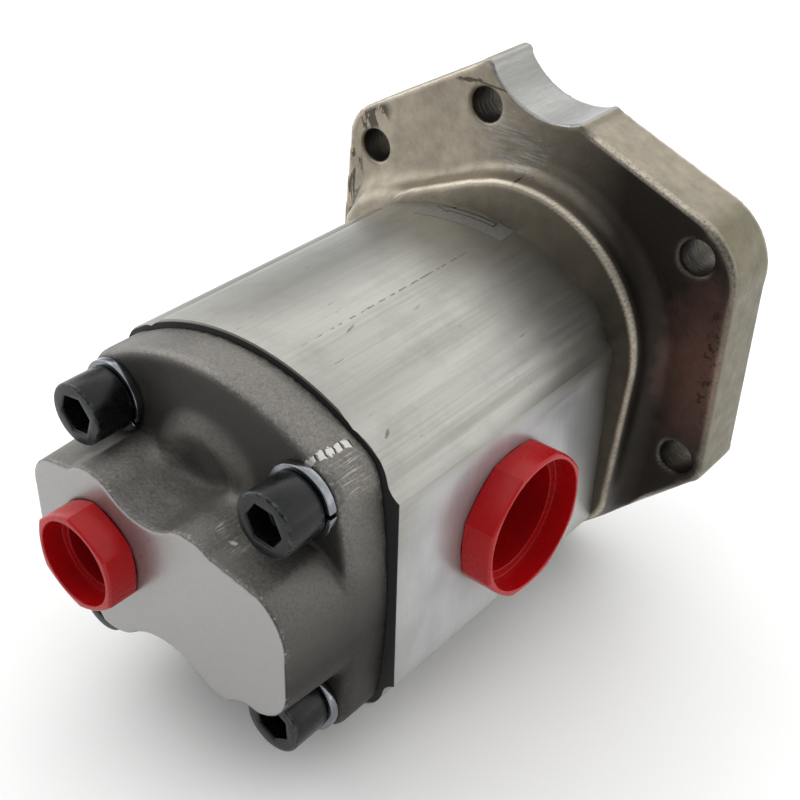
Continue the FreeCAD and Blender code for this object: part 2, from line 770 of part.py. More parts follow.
def faceted(radius, facet, count):
    """A closed line of shallow arcs between corners on a circle."""
    corners = []
    for k in range(count):
        angle = 360 / count * (k + 0.5)
        corners.append((f"{radius} * cos({angle})", f"{radius} * sin({angle})", facet, 1))
    return corners


def make_plug(label, prefix, facets, x, y, z, heading):
    """Hollow shipping plug: a faceted collar, a shank in the port and a stepped recess."""
    body = new_body(label, y, z, x, heading)
    collar = f"{prefix}_collar"
    height = f"{prefix}_collar_height"
    shank = f"({prefix}_radius - plug_clearance)"
    sketch = new_sketch(body)
    draw_outline(sketch, faceted(collar, f"{prefix}_facet", facets))
    add(body, "Pad", sketch, height)
    rim = -number(height)
    dress(body, "Chamfer", "collar_chamfer", lambda edge, p: lies_at(p, rim))
    sketch = new_sketch(body)
    draw_circle(sketch, 0, 0, shank)
    add(body, "Pad", sketch, "plug_shank + plug_standoff", True)
    tip = number("plug_shank + plug_standoff")
    dress(body, "Chamfer", "shaft_chamfer", lambda edge, p: lies_at(p, tip))
    recess = f"{height} + plug_shank + plug_standoff - plug_floor"
    drill(body, [(0, 0)], f"{shank} - plug_step", f"{height} - plug_floor", height)
    drill(body, [(0, 0)], f"{shank} - plug_wall", recess, height)
    return body


def polar(radius, angle):
    return V(radius * math.sin(angle), 0, radius * math.cos(angle))


def gear_face(offset):
    """The face of an involute gear in the XZ plane, its first tooth offset from +Z.

    Each flank is the arc through three points of the involute.
    """
    pitch = number("centre_distance") / 2
    base = pitch * math.cos(PRESSURE_ANGLE)
    root, tip = number("root_radius"), number("tip_radius")
    width = math.pi * pitch / GEAR_TEETH - number("backlash") / 2

    def lean(radius):
        """Half of the tooth's angle at a radius."""
        angle = math.acos(min(1, base / radius))
        involute = math.tan(angle) - angle
        return width / 2 / pitch + math.tan(PRESSURE_ANGLE) - PRESSURE_ANGLE - involute
    radii = [base, (base + tip) / 2, tip]
    edges = []
    for tooth in range(GEAR_TEETH):
        middle = offset + 2 * math.pi * tooth / GEAR_TEETH
        following = middle + 2 * math.pi / GEAR_TEETH
        rising = [polar(r, middle - lean(r)) for r in radii]
        falling = [polar(r, middle + lean(r)) for r in reversed(radii)]
        foot, heel = polar(root, middle - lean(base)), polar(root, middle + lean(base))
        toe = polar(root, following - lean(base))
        edges.append(Part.LineSegment(foot, rising[0]).toShape())
        edges.append(Part.Arc(*rising).toShape())
        edges.append(Part.Arc(rising[-1], polar(tip, middle), falling[0]).toShape())
        edges.append(Part.Arc(*falling).toShape())
        edges.append(Part.LineSegment(falling[-1], heel).toShape())
        edges.append(Part.Arc(heel, polar(root, (middle + following) / 2), toe).toShape())
    return Part.Face(Part.Wire(edges))


def make_gear_shaft(label, z, offset, profile, splined):
    """A gear fused with its shaft. The profile is the shaft's half section, as y and radius."""
    face = doc.addObject("Part::Feature", label + "_teeth")
    face.Shape = gear_face(offset)
    face.setExpression("Placement.Base.z", bound(z))
    face.setExpression("Placement.Base.y", bound(f"-({BODY_FRONT} + {BLOCK_LENGTH} + side_clearance)"))
    gear = doc.addObject("Part::Extrusion", label + "_gear")
    gear.Base = face
    gear.DirMode = "Custom"
    gear.Dir = V(0, -1, 0)
    gear.Solid = True
    gear.setExpression("LengthFwd", bound("gear_width"))
    shaft = new_body(label + "_core", "0", z)
    sketch = new_sketch(shaft, plane="YZ_Plane")
    draw_outline(sketch, profile)
    turn(shaft, "Revolution", sketch)
    if splined:
        cut_spline(shaft)
    whole = doc.addObject("Part::MultiFuse", label)
    whole.Label = label
    whole.Shapes = [gear, shaft]
    return whole


def cut_spline(body):
    """Straight tooth gaps round the shaft's end."""
    sketch = new_sketch(body, "-shaft_reach")
    top, floor = "(spline_radius + 0.5)", "(spline_radius - spline_depth)"
    half = f"pi * spline_radius / {2 * SPLINE_TEETH}"
    draw_outline(sketch, [
        (f"-{half} * 0.65", floor), (f"{half} * 0.65", floor),
        (f"{half} * 1.25", top), (f"-{half} * 1.25", top),
    ])
    gap = add(body, "Pocket", sketch, "spline_length", True)
    pattern = body.newObject("PartDesign::PolarPattern", body.Label + "_pattern")
    pattern.Originals = [gap]
    pattern.Axis = (sketch, ["N_Axis"])
    pattern.Angle = 360
    pattern.Occurrences = SPLINE_TEETH
    body.Tip = pattern


def journal_profile(rear, front):
    """A half section: the journal's rear end, and the corners in front of it."""
    return [(f"-({rear})", 0)] + front + [
        (f"-({rear}) + shaft_chamfer", "journal_radius"), (f"-({rear})", "journal_radius - shaft_chamfer"),
    ]


def make_shafts():
    rear = f"{BODY_REAR} - journal_end_gap"
    neck = "(shaft_reach - spline_length - neck_length)"
    drive = journal_profile(rear, [
        ("shaft_reach - centre_hole_depth", 0), ("shaft_reach", "centre_hole_radius"),
        ("shaft_reach", "spline_radius - shaft_chamfer"),
        ("shaft_reach - shaft_chamfer", "spline_radius"), ("shaft_reach - spline_length", "spline_radius"),
        ("shaft_reach - spline_length", "neck_radius"), (neck, "neck_radius"),
        (neck, "journal_radius - shaft_chamfer"), (f"{neck} - shaft_chamfer", "journal_radius"),
    ])
    front = f"-({BODY_FRONT} + journal_end_gap)"
    driven = journal_profile(rear, [
        (front, 0), (front, "journal_radius - shaft_chamfer"),
        (f"{front} - shaft_chamfer", "journal_radius"),
    ])
    make_gear_shaft("drive_gear_shaft", "0", 0, drive, True)
    make_gear_shaft("driven_gear_shaft", "-centre_distance", math.pi / GEAR_TEETH, driven, False)


def make_all():
    make_flange()
    make_body()
    make_cover()
    make_block("front_bearing_block", f"-{BODY_FRONT}", False)
    make_block("rear_bearing_block", f"-({BODY_REAR} - {BLOCK_LENGTH})", True)
    make_bushes("front_bushes", f"-{BODY_FRONT}")
    make_bushes("rear_bushes", f"-({BODY_REAR} - {BLOCK_LENGTH})")
    make_shafts()
    make_seal()
    make_ring()
    make_gasket("front_body_seal", f"-({BODY_FRONT} - gasket_depth)")
    make_gasket("rear_body_seal", f"-{BODY_REAR}")
    make_three("front_balance_seal", f"-{BODY_FRONT}", "balance_depth")
    make_three("rear_balance_seal", f"-({BODY_REAR} - balance_depth)", "balance_depth")
    make_three("front_backup_ring", f"-({BODY_FRONT} + balance_depth)", "backup_depth")
    make_three("rear_backup_ring", f"-({BODY_REAR} - balance_depth - backup_depth)", "backup_depth")
    make_dowels("front_dowels", f"-({BODY_FRONT} - dowel_length / 2)")
    make_dowels("rear_dowels", f"-({BODY_REAR} - dowel_length / 2)")
    make_screws()
    make_washers()
    make_plug("side_port_plug", "suction", SUCTION_FACETS, "port_face_x + plug_standoff",
              f"-({BODY_FRONT} + body_length / 2)", MIDDLE, 90)
    make_plug("rear_port_plug", "pressure", PRESSURE_FACETS, "pressure_x",
              f"-({BODY_REAR} + cover_face_height + plug_standoff)", f"{MIDDLE} + pressure_z", 0)


NODES = [
    "mounting_flange", "pump_body", "rear_cover", "front_bearing_block", "rear_bearing_block",
    "front_bushes", "rear_bushes", "drive_gear_shaft", "driven_gear_shaft", "shaft_seal",
    "seal_retaining_ring", "front_body_seal", "rear_body_seal", "front_balance_seal",
    "rear_balance_seal", "front_backup_ring", "rear_backup_ring", "front_dowels", "rear_dowels",
    "cover_screws", "lock_washers", "side_port_plug", "rear_port_plug",
]


def export_all():
    """Checks every feature and writes one file for each node."""
    broken = [o.Name for o in doc.Objects if "Invalid" in o.State or "Error" in o.State]
    if broken:
        raise RuntimeError("features with errors: " + ", ".join(broken))
    os.makedirs("parts", exist_ok=True)
    for name in NODES:
        shape = doc.getObject(name).Shape
        if shape.isNull() or not shape.isValid() or not shape.Solids:
            raise RuntimeError("no sound shape for " + name)
        shape.exportStep(f"parts/{name}.step")


make_all()
doc.recompute()
export_all()
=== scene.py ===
"""Looks of a hydraulic gear pump, laid out as an add-on and run as a script.

Lengths are metres, unless a name or comment says millimetres. The origin is on the drive shaft's
axis in the mounting face, +Y runs out along the shaft, and the rear cover stands at the -Y end.
"""
import functools
import math

import bpy
import numpy as np
from mathutils import Matrix, Vector


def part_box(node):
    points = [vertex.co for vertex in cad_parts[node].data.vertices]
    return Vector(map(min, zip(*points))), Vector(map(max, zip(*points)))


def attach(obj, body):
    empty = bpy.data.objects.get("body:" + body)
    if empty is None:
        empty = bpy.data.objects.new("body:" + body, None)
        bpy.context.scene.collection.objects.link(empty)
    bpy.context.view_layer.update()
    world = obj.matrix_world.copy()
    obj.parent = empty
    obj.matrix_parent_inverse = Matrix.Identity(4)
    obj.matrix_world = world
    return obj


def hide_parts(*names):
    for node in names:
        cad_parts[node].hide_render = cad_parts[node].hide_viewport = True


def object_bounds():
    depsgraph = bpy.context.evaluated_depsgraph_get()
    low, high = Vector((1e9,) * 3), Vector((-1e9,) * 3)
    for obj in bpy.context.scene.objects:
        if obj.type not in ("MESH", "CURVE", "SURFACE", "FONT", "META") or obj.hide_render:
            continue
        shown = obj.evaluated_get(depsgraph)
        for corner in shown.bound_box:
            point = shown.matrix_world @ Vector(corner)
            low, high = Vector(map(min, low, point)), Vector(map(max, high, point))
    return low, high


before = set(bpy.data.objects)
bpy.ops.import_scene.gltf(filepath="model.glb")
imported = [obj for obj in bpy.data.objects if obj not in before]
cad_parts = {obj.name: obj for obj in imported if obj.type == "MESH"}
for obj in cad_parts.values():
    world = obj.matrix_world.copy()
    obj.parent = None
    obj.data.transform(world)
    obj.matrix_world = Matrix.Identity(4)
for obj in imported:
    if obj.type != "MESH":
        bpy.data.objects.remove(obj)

bl_info = {
    "name": "Gear pump looks",
    "version": (1, 0, 0),
    "blender": (4, 5, 0),
    "location": "3D View > Sidebar > Gear pump",
    "description": "Castings, extrusion, screws and port plugs of a hydraulic gear pump",
    "category": "Object",
}

MM = 0.001
CAD_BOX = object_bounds()

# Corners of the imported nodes
BODY_LOW, BODY_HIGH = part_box("pump_body")
COVER_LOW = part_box("rear_cover")[0]
FLANGE_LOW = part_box("mounting_flange")[0]
HEAD_LOW, HEAD_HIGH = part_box("cover_screws")
WASHER_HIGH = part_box("lock_washers")[1]

# Axes along Y, each an x and a z
MIDDLE_Z = (BODY_LOW.z + BODY_HIGH.z) / 2
SCREW_X, SCREW_Z = 34 * MM, 33 * MM
SCREWS = [(sx * SCREW_X, MIDDLE_Z + sz * SCREW_Z) for sx in (1, -1) for sz in (1, -1)]
FLANGE_HOLES = [(-47.2 * MM, 39.4 * MM), (-5.4 * MM, 64 * MM), (67.6 * MM, 39.8 * MM),
                (71.6 * MM, -25.6 * MM)]
HOLE_RADIUS = 5.25 * MM
SCALLOP = (17.2 * MM, 90.2 * MM)
SCALLOP_RADIUS = 25.3 * MM
CROWN_AXIS, CROWN_RADIUS = -40.5 * MM, 75 * MM

PLATE_REAR = -20 * MM    # the mounting plate's rear face
COVER_JOINT = -136 * MM  # the cover's skin ends here, before its joint with the body
BORE_EDGE = 24 * MM      # all that the flange has nearer to the shaft is turned, not cast
SHANK_RADIUS = 5.9 * MM  # an M12 screw, just clear of its hole
COLLAR_SHIFT = 0.48 * MM  # from the CAD plug's collar to the face under it
WORLD_TINT = (0.97, 0.98, 1.0, 1)


def linear(code):
    """The linear colour of an sRGB hex value, with full alpha."""
    parts = [int(code[i:i + 2], 16) / 255 for i in (1, 3, 5)]
    return tuple(p / 12.92 if p <= 0.04045 else ((p + 0.055) / 1.055) ** 2.4 for p in parts) + (1,)


def colour(name, code, description):
    return bpy.props.FloatVectorProperty(
        name=name, description=description, subtype="COLOR", size=4, min=0, max=1, default=linear(code))


def length(name, millimetres, description):
    return bpy.props.FloatProperty(
        name=name, description=description, unit="LENGTH", min=0, default=millimetres * MM, precision=5)


class GearPumpSizes(bpy.types.PropertyGroup):
    """Sizes of the finishing work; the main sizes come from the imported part."""
    flange_step: length("Flange cells", 0.9, "Edge of the cells that round the flange's corners")
    cover_step: length("Cover cells", 0.75, "Edge of the cells that round the cover's corners")
    head_radius: length("Screw head radius", 9.0, "Radius of a socket head")
    head_height: length("Screw head height", 12.0, "Height of a socket head")
    socket_flats: length("Socket flats", 10.0, "Width across the flats of the hexagon socket")
    socket_depth: length("Socket depth", 6.5, "Depth of the hexagon socket")
    edge_break: length("Edge break", 0.25, "Bevel on the extrusion's and washers' sharp edges")
    film_gap: length("Film", 0.06, "Thickness of the printed film on the crown")
    ink_width: length("Ink line", 0.85, "Width of the arrow's printed outline")


class GearPumpColours(bpy.types.PropertyGroup):
    """Colours of the finishes, as linear values of the sRGB codes given here."""
    flange_base: colour("Flange", "#9f9686", "Plated cast iron of the mounting flange")
    # stains, and also the painted shade in the flange's hollows and bores
    flange_stain_and_shade: colour("Flange stain", "#2c2722", "Oil and handling stains on the flange")
    # the oxide colour, also laid on as painted shade over the right of the plate's rear and its boss
    flange_oxide_and_shade: colour("Flange oxide", "#25211e", "Brown oxide over the flange's right side")
    # bare metal on worn edges, and also the painted highlight along the boss's ridge
    flange_wear_and_highlight: colour("Flange wear", "#d9cfbd", "Bare metal on the flange's worn edges")
    machined: colour("Machined faces", "#9c9b9a", "Freshly cut faces of the castings")
    cover_base: colour("Cover", "#77746f", "Bare cast iron of the rear cover")
    # dust, and also the painted shade over the cover's rear, hollows and lower right
    cover_dust_and_shade: colour("Cover recess", "#33312e", "Dust and oil in the rear cover's hollows")
    extrusion: colour("Body", "#a3a29c", "Extruded aluminium")
    extrusion_dark: colour("Body streaks", "#85847c", "Die lines on the extrusion")
    port_face: colour("Port face", "#bbbcbc", "Milled face round the side port")
    sealant: colour("Joint", "#060607", "Black sealant on the body's end")
    black_steel: colour("Screws", "#08090b", "Black oxide on steel")
    zinc: colour("Washers", "#7e8185", "Zinc plate")
    plug: colour("Plugs", "#a8090e", "Moulded polyethylene")


def sizes():
    return bpy.context.scene.gear_pump_sizes


def colours():
    return bpy.context.scene.gear_pump_colours


# Node materials

def feed(socket, value):
    """Links an output to a socket, or sets it to a number or a colour. None leaves it as it is."""
    if isinstance(value, bpy.types.NodeSocket):
        socket.id_data.links.new(value, socket)
    elif value is not None:
        socket.default_value = value


def add_node(tree, kind, *inputs, output=None, **settings):
    """Adds a node, feeds its live sockets in their order, and returns its first or its named output."""
    made = tree.nodes.new("ShaderNode" + kind)
    for name, value in settings.items():
        setattr(made, name, value)
    live = [socket for socket in made.inputs if socket.enabled]
    for socket, value in zip(live, inputs):
        feed(socket, value)
    return next((s for s in made.outputs if s.enabled and output in (None, s.name)), None)


def new_material(name):
    """A material with a Principled shader. Returns it, the shader, and the function that adds its nodes."""
    material = bpy.data.materials.new(name)
    material.use_nodes = True
    material.node_tree.nodes.clear()
    add = functools.partial(add_node, material.node_tree)
    surface = add("BsdfPrincipled")
    add("OutputMaterial", surface)
    return material, surface.node, add


def mm_wide(size):
    """The scale of a noise whose blotches are about this many millimetres across."""
    return 1 / (size * MM)


def object_coords(add, stretch=(1, 1, 1), turn=(0, 0, 0)):
    """Object coordinates, stretched and turned for a pattern that runs in one direction."""
    return add("Mapping", add("TexCoord", output="Object"), None, turn, stretch)


def place_in(add, centre, half, turn=(0, 0, 0)):
    """Object coordinates seen from a spot: its centre at zero, its half sizes at one.

    Centre and half sizes are millimetres, and the turn is degrees.
    """
    return add("Mapping", add("TexCoord", output="Object"), [c * MM for c in centre],
               [math.radians(t) for t in turn], [h * MM for h in half], vector_type="TEXTURE")


def axis_distance(add, x, z):
    """Distance from an axis that runs along Y."""
    flat = add("VectorMath", add("TexCoord", output="Object"), (1, 0, 1), operation="MULTIPLY")
    return add("VectorMath", flat, (x, 0, z), operation="DISTANCE")


def mark(add, centre, half, turn=(0, 0, 0), soft=0.4, ragged=0.0, grain_mm=1.5):
    """One inside an ellipsoid, falling to nothing at its edge, which noise can make ragged."""
    away = add("VectorMath", place_in(add, centre, half, turn), operation="LENGTH")
    if ragged:
        rough = add("TexNoise", object_coords(add), mm_wide(grain_mm), 3, 0.6)
        away = add("Math", away, add("MapRange", rough, 0.3, 0.7, -ragged, ragged), operation="ADD")
    return add("MapRange", away, 1, 1 - soft)


def meeting(add, *masks):
    """Where all of the masks lie."""
    return functools.reduce(lambda one, two: add("Math", one, two, operation="MULTIPLY"), masks)


def joining(add, *masks):
    """Where any of the masks lies."""
    return functools.reduce(lambda one, two: add("Math", one, two, operation="MAXIMUM"), masks)


def coated(add, base, *coats):
    """Lays coats over a base colour. Each has its share, its mask and its colour."""
    for share, mask, tint in coats:
        cover = add("Math", mask, share, operation="MULTIPLY")
        base = add("Mix", cover, base, tint, data_type="RGBA")
    return base


def bump(add, shader, layers, smooth=0.0):
    """Chains bump layers of an output and its height in millimetres. Smooth rounds edges in shading."""
    normal = add("Bevel", smooth * MM, samples=6) if smooth else None
    for source, height in layers:
        normal = add("Bump", 1, height * MM, None, source, normal)
    feed(shader.inputs["Normal"], normal)


def flange_iron():
    """Plated cast iron: a sand-cast skin, brown-grey and half shiny, with bright worn corners."""
    paint = colours()
    material, shader, add = new_material("plated_cast_iron")
    coords = object_coords(add)
    x, y, z = add("SeparateXYZ", coords).node.outputs
    facing = add("SeparateXYZ", add("NewGeometry", output="Normal")).node.outputs
    turn = add("Attribute", attribute_name="edge_turn", output="Fac")
    clouds = add("TexNoise", coords, mm_wide(34), 5, 0.6)
    mottle = add("TexNoise", coords, mm_wide(5), 5, 0.7)
    # grain of the moulding sand: really 0.3 mm, drawn 0.7 mm wide so that it shows
    grain = add("TexNoise", coords, mm_wide(0.7), 3, 0.6)
    near_scallop = axis_distance(add, *SCALLOP)
    near_hole = axis_distance(add, *FLANGE_HOLES[0])
    for hole in FLANGE_HOLES[1:]:
        near_hole = add("Math", near_hole, axis_distance(add, *hole), operation="MINIMUM")

    # the plate's faces turned to +X are darkened as painted shade, and an oxide film, deepened with painted
    # shade, lies over the right of its rear and its boss
    right = meeting(add, add("MapRange", facing[0], 0.2, 0.6), add("MapRange", y, -20.5 * MM, PLATE_REAR))
    rear = add("MapRange", facing[1], -0.15, -0.6)
    boss = meeting(add, add("MapRange", y, PLATE_REAR, -20.4 * MM),
                   add("MapRange", y, FLANGE_LOW.y - 1 * MM, FLANGE_LOW.y))
    film = meeting(add, add("MapRange", x, -0.012, 0.044), joining(add, rear, boss),
                   add("MapRange", y, -25.5 * MM, -28.5 * MM, 1, 0.72))
    purple = meeting(add, mark(add, (74, -20, 6), (15, 8, 34), soft=0.8, ragged=0.15, grain_mm=9), rear)

    # handling stains along the left edge, and dark spots along the right one
    smear = add("TexNoise", object_coords(add, (1, 1, 0.4), (0, 0.7, 0)), mm_wide(3.6), 4, 0.6, None, 0.5)
    left = joining(add, mark(add, (-50, -20, 49), (11, 5, 5.5), (0, -28, 0), 0.3),
                   mark(add, (-57, -20, 24), (5.5, 5, 20), soft=0.3))
    specks = add("TexNoise", coords, mm_wide(2.2), 4, 0.7)
    stain = joining(
        add,
        meeting(add, add("MapRange", smear, 0.475, 0.515), left),
        meeting(add, add("MapRange", specks, 0.52, 0.6), mark(add, (77, -20, 8), (3.2, 4, 26))),
        # one long scratch by the upper hole, in two parts
        mark(add, (-11.5, -20, 70.2), (6.5, 2.5, 0.8), (0, -9, 0), 0.5, 0.35, 1.3),
        mark(add, (-3, -20, 70.2), (9, 2.5, 0.4), (0, 4, 0), 0.5, 0.3, 1),
        # a short crack on the boss, and a spot beside it
        mark(add, (11.8, -26.5, 47.5), (0.6, 3.5, 2.2), (0, 20, 0), 0.4, 0.3, 0.8),
        mark(add, (14.5, -26, 49), (1.6, 3, 0.6), (0, 25, 0), 0.4, 0.5, 0.9))

    # a patch rubbed bright by a wire brush: strokes really 0.3 mm apart, drawn 0.55 mm so that they show
    strokes = add("TexNoise", object_coords(add, (0.07, 1, 1), (0, 0.4, 0)), mm_wide(0.55), 4, 0.75)
    rubbed = mark(add, (5.5, -20, 55), (14, 5, 9.5), (0, 20, 0), 0.35, 0.3, 3)

    # corners worn bright, less at both sides, the holes and the scallop, and most on the boss's ridge, which
    # also carries a painted highlight, brighter towards the top
    wear = meeting(
        add, add("MapRange", turn, 0.035, 0.075), add("MapRange", grain, 0.3, 0.55, 0.4, 1),
        add("MapRange", x, 0.062, 0.074, 1, 0.3), add("MapRange", near_scallop, 0.027, 0.031, 0.1, 1),
        add("MapRange", near_hole, HOLE_RADIUS + 2 * MM, HOLE_RADIUS + 3 * MM, 0.2, 1),
        add("MapRange", x, 0, 0.02, 0.55, 1))
    ridge_wear_and_highlight = meeting(
        add, add("MapRange", turn, 0.03, 0.08), add("MapRange", y, -24 * MM, -26 * MM),
        add("MapRange", x, -0.032, -0.008), add("MapRange", z, 0.03, -0.01, 1, 0.6),
        add("MapRange", grain, 0.3, 0.5, 0.5, 1))
    wear = joining(add, wear, ridge_wear_and_highlight)

    # the scallop and the mounting face are milled, and the walls of the drilled holes are painted dark as
    # shade
    milled = joining(
        add, add("MapRange", near_scallop, SCALLOP_RADIUS + 0.5 * MM, SCALLOP_RADIUS + 0.3 * MM),
        add("MapRange", y, -0.15 * MM, 0))
    swirl = add("TexNoise", object_coords(add, (1, 0.12, 1)), mm_wide(0.8), 3, 0.6)
    bright = coated(add, linear("#8e8e8b"), (0.5, add("MapRange", swirl, 0.3, 0.7), linear("#757471")))
    shaded_bores = add("MapRange", near_hole, HOLE_RADIUS + 0.4 * MM, HOLE_RADIUS + 0.2 * MM)
    shade_over = coated(
        add, paint.flange_base,
        (0.3, add("MapRange", clouds, 0.4, 0.7), paint.flange_oxide_and_shade),
        # painted shade: the faces turned to +X are darkened
        (0.9, right, linear("#67624f")),
        # painted shade in the hollows
        (0.5, add("MapRange", turn, -0.01, -0.05), paint.flange_stain_and_shade),
        (0.28, add("MapRange", mottle, 0.35, 0.75), paint.flange_stain_and_shade),
        # oxide film deepened as painted shade, darker towards the right
        (0.97, film, paint.flange_oxide_and_shade),
        (0.75, purple, linear("#70584e")),
        (0.8, stain, paint.flange_stain_and_shade),
        (0.5, meeting(add, rubbed, add("MapRange", strokes, 0.44, 0.6)), paint.machined),
        # wear, and the painted highlight along the ridge
        (1, wear, paint.flange_wear_and_highlight),
        (1, milled, bright),
        # painted shade in the bores
        (0.8, shaded_bores, paint.flange_stain_and_shade))
    feed(shader.inputs["Base Color"], shade_over)
    feed(shader.inputs["Metallic"], 0.9)
    rough = add("MapRange", mottle, 0.3, 0.7, 0.34, 0.48)
    rough = add("Math", joining(add, wear, milled), -0.1, rough, operation="MULTIPLY_ADD")
    feed(shader.inputs["Roughness"], rough)
    cast = add("MapRange", milled, 0, 1, 1, 0.1)
    lumps = add("TexNoise", coords, mm_wide(6), 3, 0.5)
    grooves = add("TexNoise", object_coords(add, (0.2, 1, 0.2)), mm_wide(1), 2, 0.5)
    bump(add, shader, [(meeting(add, lumps, cast), 0.12), (meeting(add, grain, cast), 0.07),
                       (meeting(add, shaded_bores, grooves), 0.15), (meeting(add, rubbed, strokes), 0.03)])
    return material


def nick_row(add):
    """Five nicks in a row on the cover's shoulder. Returns their bright cut faces and the painted shadow on
    their sides.
    """
    pitch = 2.65  # millimetres, as all lengths here
    spot = place_in(add, (36.4, -133.7, 22), (1, 1, 1), (0, 33, 0))
    down, along, out = add("SeparateXYZ", spot).node.outputs
    wander = add("TexNoise", object_coords(add), mm_wide(2), 2, 0.5)
    along = add("Math", along, add("MapRange", wander, 0.3, 0.7, -0.25, 0.25), operation="ADD")
    # each nick leans, so its place along the row moves with its height on the slope
    leaning = add("Math", down, 0.12, along, operation="MULTIPLY_ADD")
    part = add("Math", leaning, 1 / pitch, 10.5, operation="MULTIPLY_ADD")
    part = add("Math", part, operation="FRACT")
    centre = add("Math", along, -0.12, down, operation="MULTIPLY_ADD")
    edge = add("TexNoise", object_coords(add), mm_wide(1.1), 2, 0.6)
    half_height = add("MapRange", edge, 0.3, 0.7, 0.5, 1.6)
    # the row ends 9 mm out of the shoulder, so none shows on the far side
    row = meeting(
        add, add("MapRange", add("Math", along, operation="ABSOLUTE"), 6.7, 6.4),
        add("Math", add("Math", centre, operation="ABSOLUTE"), half_height, operation="LESS_THAN"),
        add("Math", add("Math", out, operation="ABSOLUTE"), 9, operation="LESS_THAN"))
    faces = meeting(add, row, add("MapRange", part, 0.1, 0.16), add("MapRange", part, 0.86, 0.8))
    sides = meeting(add, row, add("MapRange", part, 0.84, 0.9), add("MapRange", part, 1, 0.95))
    return faces, sides


def cover_iron():
    """Bare cast iron: a grainy dark skin, with the port face milled bright."""
    paint = colours()
    material, shader, add = new_material("bare_cast_iron")
    coords = object_coords(add)
    x, y, z = add("SeparateXYZ", coords).node.outputs
    facing_y = add("SeparateXYZ", add("NewGeometry", output="Normal"), output="Y")
    turn = add("Attribute", attribute_name="edge_turn", output="Fac")
    clouds = add("TexNoise", coords, mm_wide(24), 4, 0.6)
    # pits of the blasting shot: really 0.4 mm, drawn 0.8 mm wide so that they show
    grain = add("TexNoise", coords, mm_wide(0.8), 4, 0.7)

    # painted shade keeps the rear dark, but for the hump, and darkens the lower right
    hump = mark(add, (-2, -145, 6), (18, 9, 16), soft=0.6)
    rear = meeting(add, add("MapRange", facing_y, -0.75, -0.98), add("MapRange", hump, 0, 1, 1, 0))
    low = meeting(add, add("MapRange", z, 0.012, -0.03), add("MapRange", x, -0.02, 0.01, 0.1, 1))

    # file marks, 0.6 mm apart, on the shoulder and on the wall under the upper right screw
    filed = add("TexNoise", object_coords(add, (1, 0.07, 1), (0, 0, 0.25)), mm_wide(0.6), 3, 0.6)
    worked = joining(add, mark(add, (40, -133, 17), (9, 8, 9), soft=0.6, ragged=0.3, grain_mm=4),
                     mark(add, (22, -152, 0), (7, 6, 5), soft=0.5, ragged=0.4, grain_mm=3))
    specks = meeting(add, add("MapRange", turn, 0.03, 0.07), add("MapRange", grain, 0.56, 0.64))
    nicks, sides = nick_row(add)
    nicks = joining(
        add, nicks, mark(add, (22.8, -153.3, -1), (1.3, 0.7, 0.5), (0, 20, 35), 0.4, 0.3, 0.6),
        mark(add, (20, -139.6, 28), (0.8, 0.5, 0.8), ragged=0.3, grain_mm=0.6))

    # the port face, with one arc for each turn of the cutter, 0.9 mm apart
    milled = add("MapRange", y, COVER_LOW.y + 0.3 * MM, COVER_LOW.y + 0.12 * MM)
    arcs = add("TexNoise", object_coords(add, (0.35, 1, 1), (0, 0.4, 0)), mm_wide(0.9), 4, 0.65)
    bright = coated(add, paint.machined, (0.35, add("MapRange", arcs, 0.3, 0.7), linear("#979591")))
    shade_over = coated(
        add, paint.cover_base,
        (0.35, add("MapRange", clouds, 0.35, 0.7), paint.cover_dust_and_shade),
        (0.35, add("MapRange", grain, 0.45, 0.7), linear("#a5a29c")),
        (0.35, add("MapRange", grain, 0.45, 0.3), linear("#2f2c29")),
        # painted shade on the rear, but for the hump
        (0.85, rear, paint.cover_dust_and_shade),
        # painted shade in the hollows
        (0.6, add("MapRange", turn, -0.01, -0.05), paint.cover_dust_and_shade),
        # painted shade towards the lower right
        (0.95, low, paint.cover_dust_and_shade),
        (0.5, meeting(add, worked, add("MapRange", filed, 0.56, 0.64)), linear("#b9b5ac")),
        (0.8, specks, paint.machined),
        (0.85, nicks, linear("#bdbbb4")),
        # painted shadow along the side of each nick
        (0.85, sides, linear("#23211f")),
        (1, milled, bright))
    feed(shader.inputs["Base Color"], shade_over)
    feed(shader.inputs["Metallic"], 0.8)
    rough = add("MapRange", grain, 0.3, 0.7, 0.46, 0.62)
    rough = add("Math", joining(add, milled, nicks), -0.2, rough, operation="MULTIPLY_ADD")
    feed(shader.inputs["Roughness"], rough)
    cast = add("MapRange", milled, 0, 1, 1, 0.03)
    lumps = add("TexNoise", coords, mm_wide(4), 3, 0.5)
    bump(add, shader, [(meeting(add, lumps, cast), 0.12), (meeting(add, grain, cast), 0.09), (sides, -0.2)])
    return material


